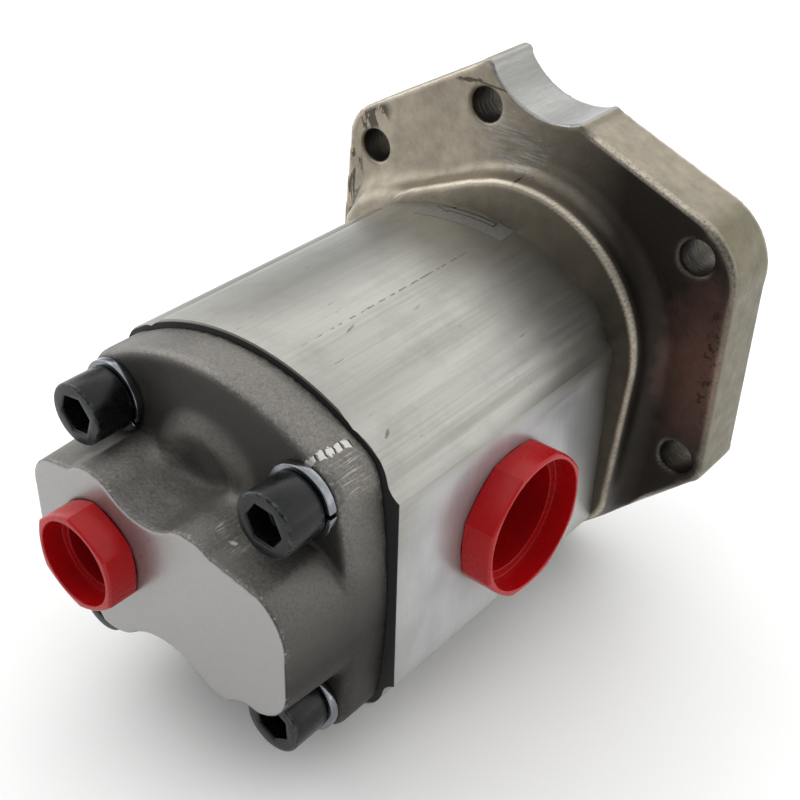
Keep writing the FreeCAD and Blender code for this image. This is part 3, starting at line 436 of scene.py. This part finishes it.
def extruded_aluminium():
    """Extruded aluminium: die lines run its length, the port face is milled, and the end is sealed black."""
    paint = colours()
    material, shader, add = new_material("extruded_aluminium")
    coords = object_coords(add)
    y = add("SeparateXYZ", coords, output="Y")
    facing_x = add("SeparateXYZ", add("NewGeometry", output="Normal"), output="X")
    # die lines along the body: the fine ones really 0.3 mm apart, drawn 1.2 mm so that they show, and
    # broad bands of 8 mm between them
    fine = add("TexNoise", object_coords(add, (1, 0.02, 1)), mm_wide(1.2), 4, 0.65)
    broad = add("TexNoise", object_coords(add, (1, 0.05, 1)), mm_wide(8), 3, 0.5)
    blotch = add("TexNoise", coords, mm_wide(16), 5, 0.65)

    # scores left by handling: a dotted line along the crown, two short ones, and faint ones all over
    dots = add("TexNoise", object_coords(add, (1, 0.5, 1)), mm_wide(1), 2, 0.5)
    faint = add("TexNoise", object_coords(add, (1, 0.2, 1), (0, 0, 0.12)), mm_wide(1.3), 2, 0.4)
    line = meeting(add, mark(add, (12, -82, 33), (0.35, 44, 4), soft=0.3), add("MapRange", dots, 0.48, 0.56))
    scores = joining(
        add, line,
        mark(add, (41.5, -118.6, 21.6), (0.5, 1.6, 2), (0, 0, 25), 0.4, 0.3, 0.7),
        mark(add, (14.9, -102.1, 33), (0.4, 2.5, 3), (0, 0, 12), 0.4, 0.4, 0.7),
        add("MapRange", faint, 0.73, 0.77, 0, 0.6))

    # the milled port face is the only flat one that faces +X, with cutter marks 0.7 mm apart
    side = add("MapRange", facing_x, 0.985, 0.999)
    brushed = add("TexNoise", object_coords(add, (1, 1, 0.05), (0.5, 0, 0)), mm_wide(0.7), 4, 0.6)
    cloudy = add("TexNoise", coords, mm_wide(14), 3, 0.5)
    face = coated(add, paint.port_face, (0.3, add("MapRange", brushed, 0.3, 0.7), linear("#9b9d9f")),
                  (0.3, add("MapRange", cloudy, 0.45, 0.7), linear("#86888a")))

    # the sealant covers the end face, short of the crown's bright edge
    end = add("MapRange", y, BODY_LOW.y + 0.2 * MM, BODY_LOW.y + 0.05 * MM)
    for crown in (CROWN_AXIS, 2 * MIDDLE_Z - CROWN_AXIS):
        inside = add("MapRange", axis_distance(add, 0, crown),
                     CROWN_RADIUS - 0.6 * MM, CROWN_RADIUS - 0.9 * MM)
        end = meeting(add, end, inside)
    shade_over = coated(
        add, paint.extrusion,
        (0.3, add("MapRange", fine, 0.42, 0.72), paint.extrusion_dark),
        (0.3, add("MapRange", broad, 0.4, 0.7), linear("#85847b")),
        (0.27, add("MapRange", blotch, 0.48, 0.7), linear("#74736b")),
        (0.6, scores, linear("#45443f")),
        (1, side, face),
        (1, end, paint.sealant))
    feed(shader.inputs["Base Color"], shade_over)
    feed(shader.inputs["Metallic"], meeting(add, add("MapRange", side, 0, 1, 0.97, 0.6),
                                            add("MapRange", end, 0, 1, 1, 0)))
    rough = add("Math", side, -0.06, add("MapRange", fine, 0.3, 0.7, 0.36, 0.46), operation="MULTIPLY_ADD")
    feed(shader.inputs["Roughness"], add("Math", end, 0.25, rough, operation="MULTIPLY_ADD"))
    skin = add("MapRange", side, 0, 1, 1, 0)
    bump(add, shader, [(meeting(add, broad, skin), 0.06), (meeting(add, fine, skin), 0.02)])
    return material


def black_oxide():
    """Black oxide on steel: an oily, nearly black skin with a soft shine."""
    paint = colours()
    material, shader, add = new_material("black_oxide_steel")
    coords = object_coords(add)
    y = add("SeparateXYZ", coords, output="Y")
    mottle = add("TexNoise", coords, mm_wide(2.2), 4, 0.65)
    # handling rubs the oxide off the rim of each head
    rims = []
    for screw in SCREWS:
        away = axis_distance(add, *screw)
        rims.append(meeting(add, add("MapRange", away, 8.1 * MM, 8.5 * MM),
                            add("MapRange", away, 9.3 * MM, 8.9 * MM)))
    patches = add("TexNoise", coords, mm_wide(1.5), 4, 0.7)
    top = add("MapRange", y, HEAD_LOW.y + 1.2 * MM, HEAD_LOW.y + 0.6 * MM)
    rubbed = meeting(add, joining(add, *rims), top, add("MapRange", patches, 0.42, 0.6))
    feed(shader.inputs["Base Color"], coated(
        add, paint.black_steel, (0.5, add("MapRange", mottle, 0.4, 0.75), linear("#1a1c1e")),
        (0.8, rubbed, linear("#46494c"))))
    feed(shader.inputs["Metallic"], 0.25)
    feed(shader.inputs["Specular IOR Level"], 0.35)
    feed(shader.inputs["Roughness"], add("MapRange", mottle, 0.3, 0.7, 0.22, 0.36))
    bump(add, shader, [(add("TexNoise", coords, mm_wide(0.6), 3, 0.6), 0.02), (mottle, 0.02)])
    return material


def zinc_plate():
    """Zinc plate on spring steel: bluish, glossy and slightly cloudy."""
    material, shader, add = new_material("zinc_plated_steel")
    coords = object_coords(add)
    mottle = add("TexNoise", coords, mm_wide(1.6), 4, 0.6)
    feed(shader.inputs["Base Color"], coated(
        add, colours().zinc, (0.3, add("MapRange", mottle, 0.4, 0.7), linear("#5d5e61"))))
    feed(shader.inputs["Metallic"], 1)
    feed(shader.inputs["Roughness"], add("MapRange", mottle, 0.3, 0.7, 0.14, 0.24))
    bump(add, shader, [(add("TexNoise", coords, mm_wide(0.6), 3, 0.6), 0.006)])
    return material


def moulded_polyethylene():
    """Moulded polyethylene: soft gloss, slightly translucent, with scuffs."""
    material, shader, add = new_material("moulded_polyethylene")
    coords = object_coords(add)
    scuffs = add("TexNoise", object_coords(add, (1, 0.3, 1)), mm_wide(1.4), 4, 0.65)
    clouds = add("TexNoise", coords, mm_wide(12), 2, 0.5)
    # the cups are deep and shaded, so little colour comes back from their floors
    cups = joining(add, mark(add, (50, -77, -22.5), (14, 20.6, 20.6), soft=0.7),
                   mark(add, (-20.5, -160, -22), (13.2, 11, 13.2), soft=0.6))
    feed(shader.inputs["Base Color"], coated(
        add, colours().plug, (0.35, add("MapRange", clouds, 0.35, 0.7), linear("#850811")),
        (0.2, add("MapRange", scuffs, 0.66, 0.74), linear("#b43a39")), (0.8, cups, linear("#40050a"))))
    feed(shader.inputs["Subsurface Weight"], 0.04)
    feed(shader.inputs["Subsurface Radius"], (1, 0.12, 0.08))
    feed(shader.inputs["Subsurface Scale"], 1 * MM)
    feed(shader.inputs["IOR"], 1.51)
    feed(shader.inputs["Specular IOR Level"], 0.27)
    feed(shader.inputs["Roughness"], add("MapRange", scuffs, 0.4, 0.75, 0.26, 0.4))
    bump(add, shader, [(add("TexNoise", coords, mm_wide(3), 2, 0.5), 0.04), (scuffs, 0.01)])
    return material


def plain_metal(name, code, dark, rough, stretch=(1, 1, 1), grain_mm=0.6):
    """A turned or ground metal: fine marks along one direction and a slight cloudiness."""
    material, shader, add = new_material(name)
    marks = add("TexNoise", object_coords(add, stretch), mm_wide(grain_mm), 4, 0.65)
    clouds = add("TexNoise", object_coords(add), mm_wide(9), 3, 0.5)
    feed(shader.inputs["Base Color"], coated(
        add, linear(code), (0.5, add("MapRange", marks, 0.35, 0.7), linear(dark)),
        (0.3, add("MapRange", clouds, 0.45, 0.75), linear(dark))))
    feed(shader.inputs["Metallic"], 1)
    feed(shader.inputs["Roughness"], add("MapRange", marks, 0.3, 0.7, rough, rough + 0.14))
    bump(add, shader, [(marks, 0.015)], 0.25)
    return material


def plain_polymer(name, code, dark, rough):
    """A moulded rubber or plastic: matt, with a fine skin."""
    material, shader, add = new_material(name)
    skin = add("TexNoise", object_coords(add), mm_wide(0.8), 4, 0.6)
    feed(shader.inputs["Base Color"], coated(
        add, linear(code), (1, add("MapRange", skin, 0.35, 0.7), linear(dark))))
    feed(shader.inputs["IOR"], 1.5)
    feed(shader.inputs["Roughness"], add("MapRange", skin, 0.3, 0.7, rough, rough + 0.15))
    bump(add, shader, [(skin, 0.03)], 0.2)
    return material


def sticker_film():
    """Printed film: thin clear vinyl that dulls the metal under it."""
    material, shader, add = new_material("printed_film")
    dust = add("TexNoise", object_coords(add), mm_wide(1.5), 4, 0.6)
    feed(shader.inputs["Base Color"], coated(
        add, linear("#84837e"), (1, add("MapRange", dust, 0.4, 0.7), linear("#757470"))))
    feed(shader.inputs["Metallic"], 0.7)
    feed(shader.inputs["Roughness"], add("MapRange", dust, 0.3, 0.7, 0.36, 0.46))
    bump(add, shader, [(dust, 0.01)])
    return material


def printing_ink():
    """Black ink: flat and thin, broken where the film is scuffed."""
    material, shader, add = new_material("printing_ink")
    dust = add("TexNoise", object_coords(add), mm_wide(0.9), 4, 0.6)
    feed(shader.inputs["Base Color"], coated(
        add, linear("#1b1b1a"), (1, add("MapRange", dust, 0.58, 0.8), linear("#4b4a46"))))
    feed(shader.inputs["Roughness"], add("MapRange", dust, 0.3, 0.7, 0.45, 0.6))
    return material


def studio_paper():
    """Pale paper: matt, with a barely seen cloudiness."""
    material, shader, add = new_material("studio_paper")
    cloud = add("TexNoise", object_coords(add), mm_wide(400), 2, 0.5)
    feed(shader.inputs["Base Color"], coated(
        add, linear("#fbfbfa"), (1, add("MapRange", cloud, 0.3, 0.7), linear("#f8f8f7"))))
    feed(shader.inputs["Roughness"], 0.9)
    return material


# Modelling helpers

def only(*pieces):
    """Selects these objects and nothing else."""
    if bpy.context.object and bpy.context.object.mode != "OBJECT":
        bpy.ops.object.mode_set(mode="OBJECT")
    bpy.ops.object.select_all(action="DESELECT")
    for piece in pieces:
        piece.select_set(True)
    bpy.context.view_layer.objects.active = pieces[0]


def modify(piece, kind, **settings):
    """Adds a modifier and applies it."""
    only(piece)
    modifier = piece.modifiers.new(kind.lower(), kind)
    for name, value in settings.items():
        setattr(modifier, name, value)
    bpy.ops.object.modifier_apply(modifier=modifier.name)


def named(name):
    """Names the active object and its mesh."""
    piece = bpy.context.object
    piece.name = name
    piece.data.name = name
    return piece


def settle(piece):
    """Puts the piece's place into its mesh."""
    only(piece)
    bpy.ops.object.transform_apply(location=True, rotation=True, scale=True)


def rod(name, radius, low, high, sides):
    """A cylinder or a prism on the Y axis, from low to high."""
    bpy.ops.mesh.primitive_cylinder_add(
        vertices=sides, radius=radius, depth=high - low, end_fill_type="NGON",
        location=(0, (low + high) / 2, 0), rotation=(math.pi / 2, 0, 0))
    piece = named(name)
    settle(piece)
    return piece


def cut_away(piece, cutter):
    """Takes the cutter out of the piece and removes it."""
    settle(cutter)
    modify(piece, "BOOLEAN", operation="DIFFERENCE", object=cutter, solver="EXACT")
    bpy.data.objects.remove(cutter)


def finish(piece, material, body, slot, *nodes):
    """Gives a piece its material and body, and hides the nodes that it stands for."""
    piece.data.materials.clear()
    piece.data.materials.append(material)
    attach(piece, body)
    if nodes:
        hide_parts(*nodes)


def merged_copy(node, name):
    """A new object with the node's mesh, its loose triangles merged."""
    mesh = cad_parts[node].data.copy()
    piece = bpy.data.objects.new(name, mesh)
    mesh.name = name
    bpy.context.scene.collection.objects.link(piece)
    mesh.materials.clear()
    only(piece)
    bpy.ops.object.mode_set(mode="EDIT")
    bpy.ops.mesh.select_all(action="SELECT")
    bpy.ops.mesh.customdata_custom_splitnormals_clear()
    bpy.ops.mesh.remove_doubles(threshold=0.002 * MM)
    bpy.ops.object.mode_set(mode="OBJECT")
    return piece


def shade(piece, degrees=35):
    """Shades smooth all edges that turn by less than this."""
    only(piece)
    bpy.ops.object.shade_smooth_by_angle(angle=math.radians(degrees))


def bevel(piece, width, segments, degrees=50):
    """Bevels all edges that turn by more than this."""
    modify(piece, "BEVEL", width=width, segments=segments, limit_method="ANGLE",
           angle_limit=math.radians(degrees))


def dressed_copy(node, name, edge, corner=35, smooth=30):
    """A node's copy with its sharp edges broken. Corner and smooth are degrees."""
    piece = merged_copy(node, name)
    bpy.ops.object.mode_set(mode="EDIT")
    bpy.ops.mesh.select_all(action="SELECT")
    bpy.ops.mesh.dissolve_limited(angle_limit=math.radians(0.4))
    bpy.ops.object.mode_set(mode="OBJECT")
    bevel(piece, edge, 3, corner)
    shade(piece, smooth)
    return piece


def rows_of(mesh, what):
    """The vertices' co or normal as rows of three numbers."""
    rows = np.empty(3 * len(mesh.vertices), dtype=np.float32)
    mesh.vertices.foreach_get(what, rows)
    return rows.reshape(-1, 3)


def set_places(mesh, places):
    mesh.vertices.foreach_set("co", places.astype(np.float32).ravel())
    mesh.update()


def near_axes(places, axes, radius):
    """Whether each place lies within radius of one of the axes along Y."""
    near = np.zeros(len(places), dtype=bool)
    for x, z in axes:
        near |= np.hypot(places[:, 0] - x, places[:, 2] - z) < radius
    return near


def fade(values, low, high):
    """Zero below low, one above high, and a slope between; low may be the larger."""
    return np.clip((values - low) / (high - low), 0, 1)


def spread(mesh, values, times):
    """Each vertex's values, replaced times over by the mean of its neighbours'."""
    ends = np.empty(2 * len(mesh.edges), dtype=np.int32)
    mesh.edges.foreach_get("vertices", ends)
    first, second = ends[0::2], ends[1::2]
    count = np.bincount(ends, minlength=len(values))
    size = len(values)
    for _ in range(times):
        columns = []
        for column in values.T:
            total = np.bincount(first, column[second], size) + np.bincount(second, column[first], size)
            columns.append(total / count)
        values = np.stack(columns, axis=1)
    return values


def relax(piece, weights, passes):
    """Smooths the vertices by their weights, from 0, which stays, to 1."""
    group = piece.vertex_groups.new(name="weights")
    levels = np.round(np.asarray(weights, dtype=float), 1)
    for level in np.unique(levels)[::-1]:
        if level > 0:
            group.add(np.flatnonzero(levels == level).tolist(), float(level), "REPLACE")
    modify(piece, "SMOOTH", factor=0.5, iterations=passes, vertex_group="weights")
    piece.vertex_groups.clear()


def round_casting(piece, step, is_cut, passes):
    """Gives a casting an even mesh of small cells on its true surface, then rounds its uncut corners."""
    true_shape = bpy.data.objects.new("true_shape", piece.data.copy())
    bpy.context.scene.collection.objects.link(true_shape)
    modify(piece, "REMESH", mode="VOXEL", voxel_size=step, use_smooth_shade=True)
    modify(piece, "SHRINKWRAP", target=true_shape, wrap_method="NEAREST_SURFACEPOINT")
    bpy.data.objects.remove(true_shape)
    # two passes over all even out the cells, and the rest stay off what a tool has cut
    relax(piece, np.ones(len(piece.data.vertices)), passes=2)
    relax(piece, ~is_cut(rows_of(piece.data, "co")), passes)


def keep_turn(mesh, step):
    """Keeps how sharply the surface turns, for wear and for painted shade: outer corners above zero, hollows
    below.
    """
    places, normals = rows_of(mesh, "co"), rows_of(mesh, "normal")
    sunk = places - spread(mesh, places, 1)
    turn = (sunk * normals).sum(axis=1, keepdims=True) / step
    turn = spread(mesh, turn, 3)
    kept = mesh.attributes.new("edge_turn", "FLOAT", "POINT")
    kept.data.foreach_set("value", turn.astype(np.float32).ravel())


# Operators

class PUMP_OT_flange(bpy.types.Operator):
    """Rounds the mounting flange as a sand casting"""
    bl_idname = "pump.flange"
    bl_label = "Mounting flange"

    def execute(self, context):
        piece = merged_copy("mounting_flange", "flange_casting")
        step = sizes().flange_step

        def is_cut(places):
            y = places[:, 1]
            ends = (y > -1.2 * step) | (y < FLANGE_LOW.y + 0.3 * step)
            bores = near_axes(places, [(0, 0)], BORE_EDGE)
            bores |= near_axes(places, FLANGE_HOLES, HOLE_RADIUS + 0.3 * step)
            return ends | bores | near_axes(places, [SCALLOP], SCALLOP_RADIUS + 0.5 * step)

        round_casting(piece, step, is_cut, passes=5)
        relax(piece, self.cove(piece.data), passes=45)
        relax(piece, self.slope(piece.data), passes=150)
        keep_turn(piece.data, step)
        finish(piece, flange_iron(), "housing", "flange_iron", "mounting_flange")
        return {"FINISHED"}

    def cove(self, mesh):
        """Weights of the wide cove in which the boss grows out of the plate."""
        places, normals = rows_of(mesh, "co"), rows_of(mesh, "normal")
        sides = (np.abs(normals[:, 1]) < 0.97) & (places[:, 1] < PLATE_REAR - 0.5 * MM)
        cove = fade(spread(mesh, sides.astype(float)[:, None], 8)[:, 0], 0.05, 0.4)
        cove *= fade(places[:, 1], -28 * MM, -25.5 * MM)
        cove[self.round_holes(places)] = 0
        return cove

    def slope(self, mesh):
        """Weights of the slope in which the boss falls away at its upper left."""
        places = rows_of(mesh, "co")
        away = np.hypot(places[:, 0] - 2 * MM, places[:, 2])
        slope = fade(away, 44 * MM, 48 * MM) * fade(away, 63 * MM, 57 * MM)
        slope *= fade(places[:, 2], 16 * MM, 24 * MM)
        slope *= fade(places[:, 0], 4 * MM, -8 * MM) * (places[:, 1] < PLATE_REAR + 0.5 * MM)
        slope[self.round_holes(places)] = 0
        return slope

    def round_holes(self, places):
        return near_axes(places, FLANGE_HOLES, HOLE_RADIUS + 2 * MM)


class PUMP_OT_cover(bpy.types.Operator):
    """Rounds the rear cover as a sand casting with a milled port face"""
    bl_idname = "pump.cover"
    bl_label = "Rear cover"

    def execute(self, context):
        piece = merged_copy("rear_cover", "cover_casting")
        step = sizes().cover_step
        seat = WASHER_HIGH.y

        def is_cut(places):
            y = places[:, 1]
            ends = (y < COVER_LOW.y + 1.2 * step) | (y > COVER_JOINT)
            on_seat = (np.abs(y - seat) < step) & near_axes(places, SCREWS, 11 * MM)
            return ends | on_seat | near_axes(places, SCREWS, 7 * MM)

        round_casting(piece, step, is_cut, passes=9)
        # the ring between the screws is the softest part of the mould
        places = rows_of(piece.data, "co")
        ring = np.hypot(places[:, 0], places[:, 2])
        soft = fade(ring, 22 * MM, 17 * MM) * (places[:, 1] < seat + 1 * MM)
        soft *= fade(places[:, 1], -151 * MM, -149 * MM)
        relax(piece, soft, passes=110)
        keep_turn(piece.data, step)
        finish(piece, cover_iron(), "housing", "cover_iron", "rear_cover")
        return {"FINISHED"}


class PUMP_OT_body(bpy.types.Operator):
    """Breaks the sharp edges of the extruded body"""
    bl_idname = "pump.body"
    bl_label = "Body"

    def execute(self, context):
        piece = dressed_copy("pump_body", "body_extrusion", sizes().edge_break)
        finish(piece, extruded_aluminium(), "housing", "body_aluminium", "pump_body")
        return {"FINISHED"}


class PUMP_OT_label(bpy.types.Operator):
    """Lays a clear film with a turning arrow on the crown"""
    bl_idname = "pump.label"
    bl_label = "Turning arrow"

    def execute(self, context):
        gap = sizes().film_gap
        # the film is 30.5 mm by 7.8 mm and sits a little askew
        bpy.ops.mesh.primitive_grid_add(
            x_subdivisions=40, y_subdivisions=10, size=1, location=(-0.8 * MM, -33.9 * MM, 0),
            rotation=(0, 0, math.radians(4.5)))
        film = named("label_film")
        film.scale = (30.5 * MM, 7.8 * MM, 1)
        settle(film)
        self.lay(film, 0)
        modify(film, "SOLIDIFY", thickness=gap, offset=1)
        finish(film, sticker_film(), "housing", "backup_plastic")

        # the arrow's outline, in millimetres from its tip
        corners = [(-12.9, -31.3), (-7.2, -29.7), (-7.2, -30.5), (8.3, -29.9), (8.6, -32.1), (-7.4, -32.7),
                   (-7.4, -33.6)]
        line = bpy.data.curves.new("arrow_line", "CURVE")
        line.dimensions = "3D"
        line.bevel_depth = sizes().ink_width / 2
        line.bevel_resolution = 2
        run = line.splines.new("POLY")
        run.points.add(len(corners) - 1)
        for point, (x, y) in zip(run.points, corners):
            point.co = (x * MM, y * MM, 0, 1)
        run.use_cyclic_u = True
        arrow = bpy.data.objects.new("turning_arrow", line)
        context.scene.collection.objects.link(arrow)
        only(arrow)
        bpy.ops.object.convert(target="MESH")
        arrow = named("turning_arrow")
        self.cut_across(arrow)
        self.lay(arrow, gap, 0.12)
        shade(arrow)
        finish(arrow, printing_ink(), "housing", "backup_plastic")
        return {"FINISHED"}

    def cut_across(self, piece):
        """Cuts the long runs every 2 mm, so that they can follow the crown."""
        only(piece)
        bpy.ops.object.mode_set(mode="EDIT")
        for x in range(-12, 9, 2):
            bpy.ops.mesh.select_all(action="SELECT")
            bpy.ops.mesh.bisect(plane_co=(x * MM, 0, 0), plane_no=(1, 0, 0))
        bpy.ops.object.mode_set(mode="OBJECT")

    def lay(self, piece, gap, flatten=1.0):
        """Drops a flat piece onto the crown, its thickness scaled by flatten."""
        places = rows_of(piece.data, "co")
        crown = CROWN_AXIS + np.sqrt(CROWN_RADIUS ** 2 - places[:, 0] ** 2)
        places[:, 2] = crown + gap + flatten * places[:, 2]
        set_places(piece.data, places)


class PUMP_OT_screws(bpy.types.Operator):
    """Makes the four socket head screws"""
    bl_idname = "pump.screws"
    bl_label = "Cover screws"

    def execute(self, context):
        size = sizes()
        steel = black_oxide()
        seat = HEAD_LOW.y + size.head_height
        screw = rod("screw_head", size.head_radius, HEAD_LOW.y, seat, 96)
        self.cut_socket(screw, size)
        bevel(screw, 0.7 * MM, 4)
        self.add_shank(screw, seat)
        shade(screw, 32)
        for number, (x, z) in enumerate(SCREWS, 1):
            piece = bpy.data.objects.new(f"socket_screw_{number}", screw.data.copy())
            context.scene.collection.objects.link(piece)
            # each hexagon stopped at its own angle
            turn = Matrix.Rotation(math.radians(23 * number + 11), 4, "Y")
            piece.data.transform(Matrix.Translation((x, 0, z)) @ turn)
            finish(piece, steel, "housing", "screw_steel", "cover_screws")
        bpy.data.objects.remove(screw)
        return {"FINISHED"}

    def cut_socket(self, screw, size):
        """Cuts the hexagon, and the drill's cone in its floor."""
        mouth = HEAD_LOW.y
        corner = size.socket_flats / math.sqrt(3)
        cutter = rod("hexagon_cutter", corner, mouth - size.socket_depth, mouth + size.socket_depth, 6)
        cut_away(screw, cutter)
        bpy.ops.mesh.primitive_cone_add(
            vertices=48, radius1=size.socket_flats * 0.46, radius2=0, depth=1.6 * MM,
            location=(0, mouth + size.socket_depth + 0.6 * MM, 0), rotation=(-math.pi / 2, 0, 0))
        cut_away(screw, named("drill_cutter"))

    def add_shank(self, screw, seat):
        """Adds the shank below the head, 2 mm into it, and joins it on."""
        shank = rod("shank", SHANK_RADIUS, seat - 2 * MM, HEAD_HIGH.y, 48)
        bevel(shank, 0.8 * MM, 2)
        only(screw, shank)
        bpy.ops.object.join()


class PUMP_OT_washers(bpy.types.Operator):
    """Finishes the four split spring washers"""
    bl_idname = "pump.washers"
    bl_label = "Spring washers"

    def execute(self, context):
        piece = dressed_copy("lock_washers", "spring_washers", sizes().edge_break, 50)
        places = rows_of(piece.data, "co")
        # each split stopped at its own angle, in degrees
        for (x, z), degrees in zip(SCREWS, (-87, 150, -121, 40)):
            ring = near_axes(places, [(x, z)], 12 * MM)
            turn = math.radians(degrees)
            across, up = places[ring, 0] - x, places[ring, 2] - z
            places[ring, 0] = x + across * math.cos(turn) - up * math.sin(turn)
            places[ring, 2] = z + across * math.sin(turn) + up * math.cos(turn)
        set_places(piece.data, places)
        finish(piece, zinc_plate(), "housing", "washer_steel", "lock_washers")
        return {"FINISHED"}


class PUMP_OT_plugs(bpy.types.Operator):
    """Finishes the two moulded port plugs"""
    bl_idname = "pump.plugs"
    bl_label = "Port plugs"

    def execute(self, context):
        plastic = moulded_polyethylene()
        # each plug's body, node, axis, face, mouth radius, and how much wider the mouth becomes
        plugs = (("side_plug", "side_port_plug", 0, BODY_HIGH.x, 19 * MM, 0.8 * MM),
                 ("rear_plug", "rear_port_plug", 1, COVER_LOW.y, 12 * MM, 0.6 * MM))
        for body, node, axis, face, mouth, wider in plugs:
            piece = dressed_copy(node, body, 0.3 * MM, 42, 13)
            places = rows_of(piece.data, "co")
            low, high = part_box(node)
            across = [i for i in range(3) if i != axis]
            centre = [(low[i] + high[i]) / 2 for i in across]
            out = np.abs(places[:, axis]) - abs(face)
            # the collar rests on the face
            under = (out > 0.5 * MM) & (out < 1 * MM)
            places[under, axis] -= math.copysign(COLLAR_SHIFT, face)
            # the wall is thin at its mouth
            spokes = places[:, across] - centre
            radius = np.linalg.norm(spokes, axis=1)
            inside = (out > 2 * MM) & (radius > mouth - 0.4 * MM) & (radius < mouth + 0.4 * MM)
            places[np.ix_(inside, across)] = centre + spokes[inside] * (1 + wider / mouth)
            set_places(piece.data, places)
            finish(piece, plastic, body, "red_plastic", node)
        return {"FINISHED"}


class PUMP_OT_shafts(bpy.types.Operator):
    """Gives the shafts, bearings and seals their finishes"""
    bl_idname = "pump.shafts"
    bl_label = "Shafts and inner pieces"

    def execute(self, context):
        steel = plain_metal("ground_steel", "#b4b4b6", "#84848a", 0.22, (1, 0.1, 1), 0.5)
        aluminium = plain_metal("turned_aluminium", "#bdbdbb", "#95958f", 0.3)
        bronze = plain_metal("bearing_bronze", "#a9824a", "#7a5a30", 0.3, (1, 0.2, 1))
        spring = plain_metal("phosphated_steel", "#4d4d4f", "#2c2c2e", 0.42)
        rubber = plain_polymer("nitrile_rubber", "#1b1b1c", "#101011", 0.5)
        strip = plain_polymer("backing_nylon", "#d8d4c6", "#bdb8a8", 0.4)
        finishes = {
            steel: ("drive_gear_shaft", "driven_gear_shaft", "front_dowels", "rear_dowels"),
            aluminium: ("front_bearing_block", "rear_bearing_block"),
            bronze: ("front_bushes", "rear_bushes"),
            spring: ("seal_retaining_ring",),
            rubber: ("shaft_seal", "front_body_seal", "rear_body_seal", "front_balance_seal",
                     "rear_balance_seal"),
            strip: ("front_backup_ring", "rear_backup_ring"),
        }
        for material, nodes in finishes.items():
            for node in nodes:
                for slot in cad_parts[node].material_slots:
                    slot.material = material
        return {"FINISHED"}


class PUMP_OT_stage(bpy.types.Operator):
    """Sets the floor, the soft lights and the camera"""
    bl_idname = "pump.stage"
    bl_label = "Stage"

    def execute(self, context):
        self.floor()
        self.lights()
        self.camera(context)
        context.scene.view_settings.view_transform = "Standard"
        return {"FINISHED"}

    def floor(self):
        """A plain pale sheet of paper 1 mm under the pump."""
        level = CAD_BOX[0][2] - 1 * MM
        bpy.ops.mesh.primitive_plane_add(size=2.6, location=(0, 0, level))
        floor = named("floor")
        settle(floor)
        floor.data.materials.append(studio_paper())

    def lights(self):
        """Large soft lamps that look at the pump, and a pale room."""
        middle = Vector((0, -0.06, -0.02))
        # name, place, size in metres and power in watts
        lamps = (("overhead", (-0.1, 0, 1.2), 2.8, 26), ("left", (-1.3, -0.2, 0.7), 1.6, 12),
                 ("back", (-0.2, 1.4, 0.6), 2.0, 11), ("right", (1.1, 0.8, 0.5), 1.2, 6))
        for name, place, size, power in lamps:
            bpy.ops.object.light_add(type="AREA", location=place)
            lamp = bpy.context.object
            lamp.name = name + "_light"
            lamp.data.size = size
            lamp.data.energy = power
            lamp.rotation_euler = (middle - Vector(place)).to_track_quat("-Z", "Y").to_euler()
        world = bpy.data.worlds.new("studio")
        world.use_nodes = True
        # the room is pale up to eye level and dimmer above
        add = functools.partial(add_node, world.node_tree)
        upward = add("SeparateXYZ", add("TexCoord", output="Generated"), output="Z")
        tint, strength = world.node_tree.nodes["Background"].inputs[:2]
        feed(tint, WORLD_TINT)
        feed(strength, add("MapRange", upward, 0.06, 0.34, 0.85, 0.28))
        bpy.context.scene.world = world

    def camera(self, context):
        """The photograph's view: place in metres, turn in degrees."""
        data = bpy.data.cameras.new("camera")
        data.sensor_width = 36
        data.lens = 58.08
        data.clip_start = 0.01
        camera = bpy.data.objects.new("camera", data)
        context.scene.collection.objects.link(camera)
        camera.location = (202.41 * MM, -313.89 * MM, 202.74 * MM)
        camera.rotation_euler = [math.radians(a) for a in (55.911, -1.365, 39.764)]
        context.scene.camera = camera


class PUMP_PT_panel(bpy.types.Panel):
    """Lists the pump's operators, sizes and colours"""
    bl_idname = "PUMP_PT_panel"
    bl_label = "Gear pump"
    bl_space_type = "VIEW_3D"
    bl_region_type = "UI"
    bl_category = "Gear pump"

    def draw(self, context):
        column = self.layout.column()
        for operator in OPERATORS:
            column.operator(operator.bl_idname)
        for group in (context.scene.gear_pump_sizes, context.scene.gear_pump_colours):
            for name in group.__annotations__:
                column.prop(group, name)


OPERATORS = (
    PUMP_OT_flange, PUMP_OT_body, PUMP_OT_label, PUMP_OT_cover, PUMP_OT_screws, PUMP_OT_washers,
    PUMP_OT_plugs, PUMP_OT_shafts, PUMP_OT_stage,
)
CLASSES = (GearPumpSizes, GearPumpColours) + OPERATORS + (PUMP_PT_panel,)


def register():
    for cls in CLASSES:
        bpy.utils.register_class(cls)
    bpy.types.Scene.gear_pump_sizes = bpy.props.PointerProperty(type=GearPumpSizes)
    bpy.types.Scene.gear_pump_colours = bpy.props.PointerProperty(type=GearPumpColours)


def unregister():
    del bpy.types.Scene.gear_pump_sizes
    del bpy.types.Scene.gear_pump_colours
    for cls in reversed(CLASSES):
        bpy.utils.unregister_class(cls)


def main():
    register()
    bpy.ops.pump.flange()
    bpy.ops.pump.body()
    bpy.ops.pump.label()
    bpy.ops.pump.cover()
    bpy.ops.pump.screws()
    bpy.ops.pump.washers()
    bpy.ops.pump.plugs()
    bpy.ops.pump.shafts()
    bpy.ops.pump.stage()


if __name__ == "__main__":
    main()
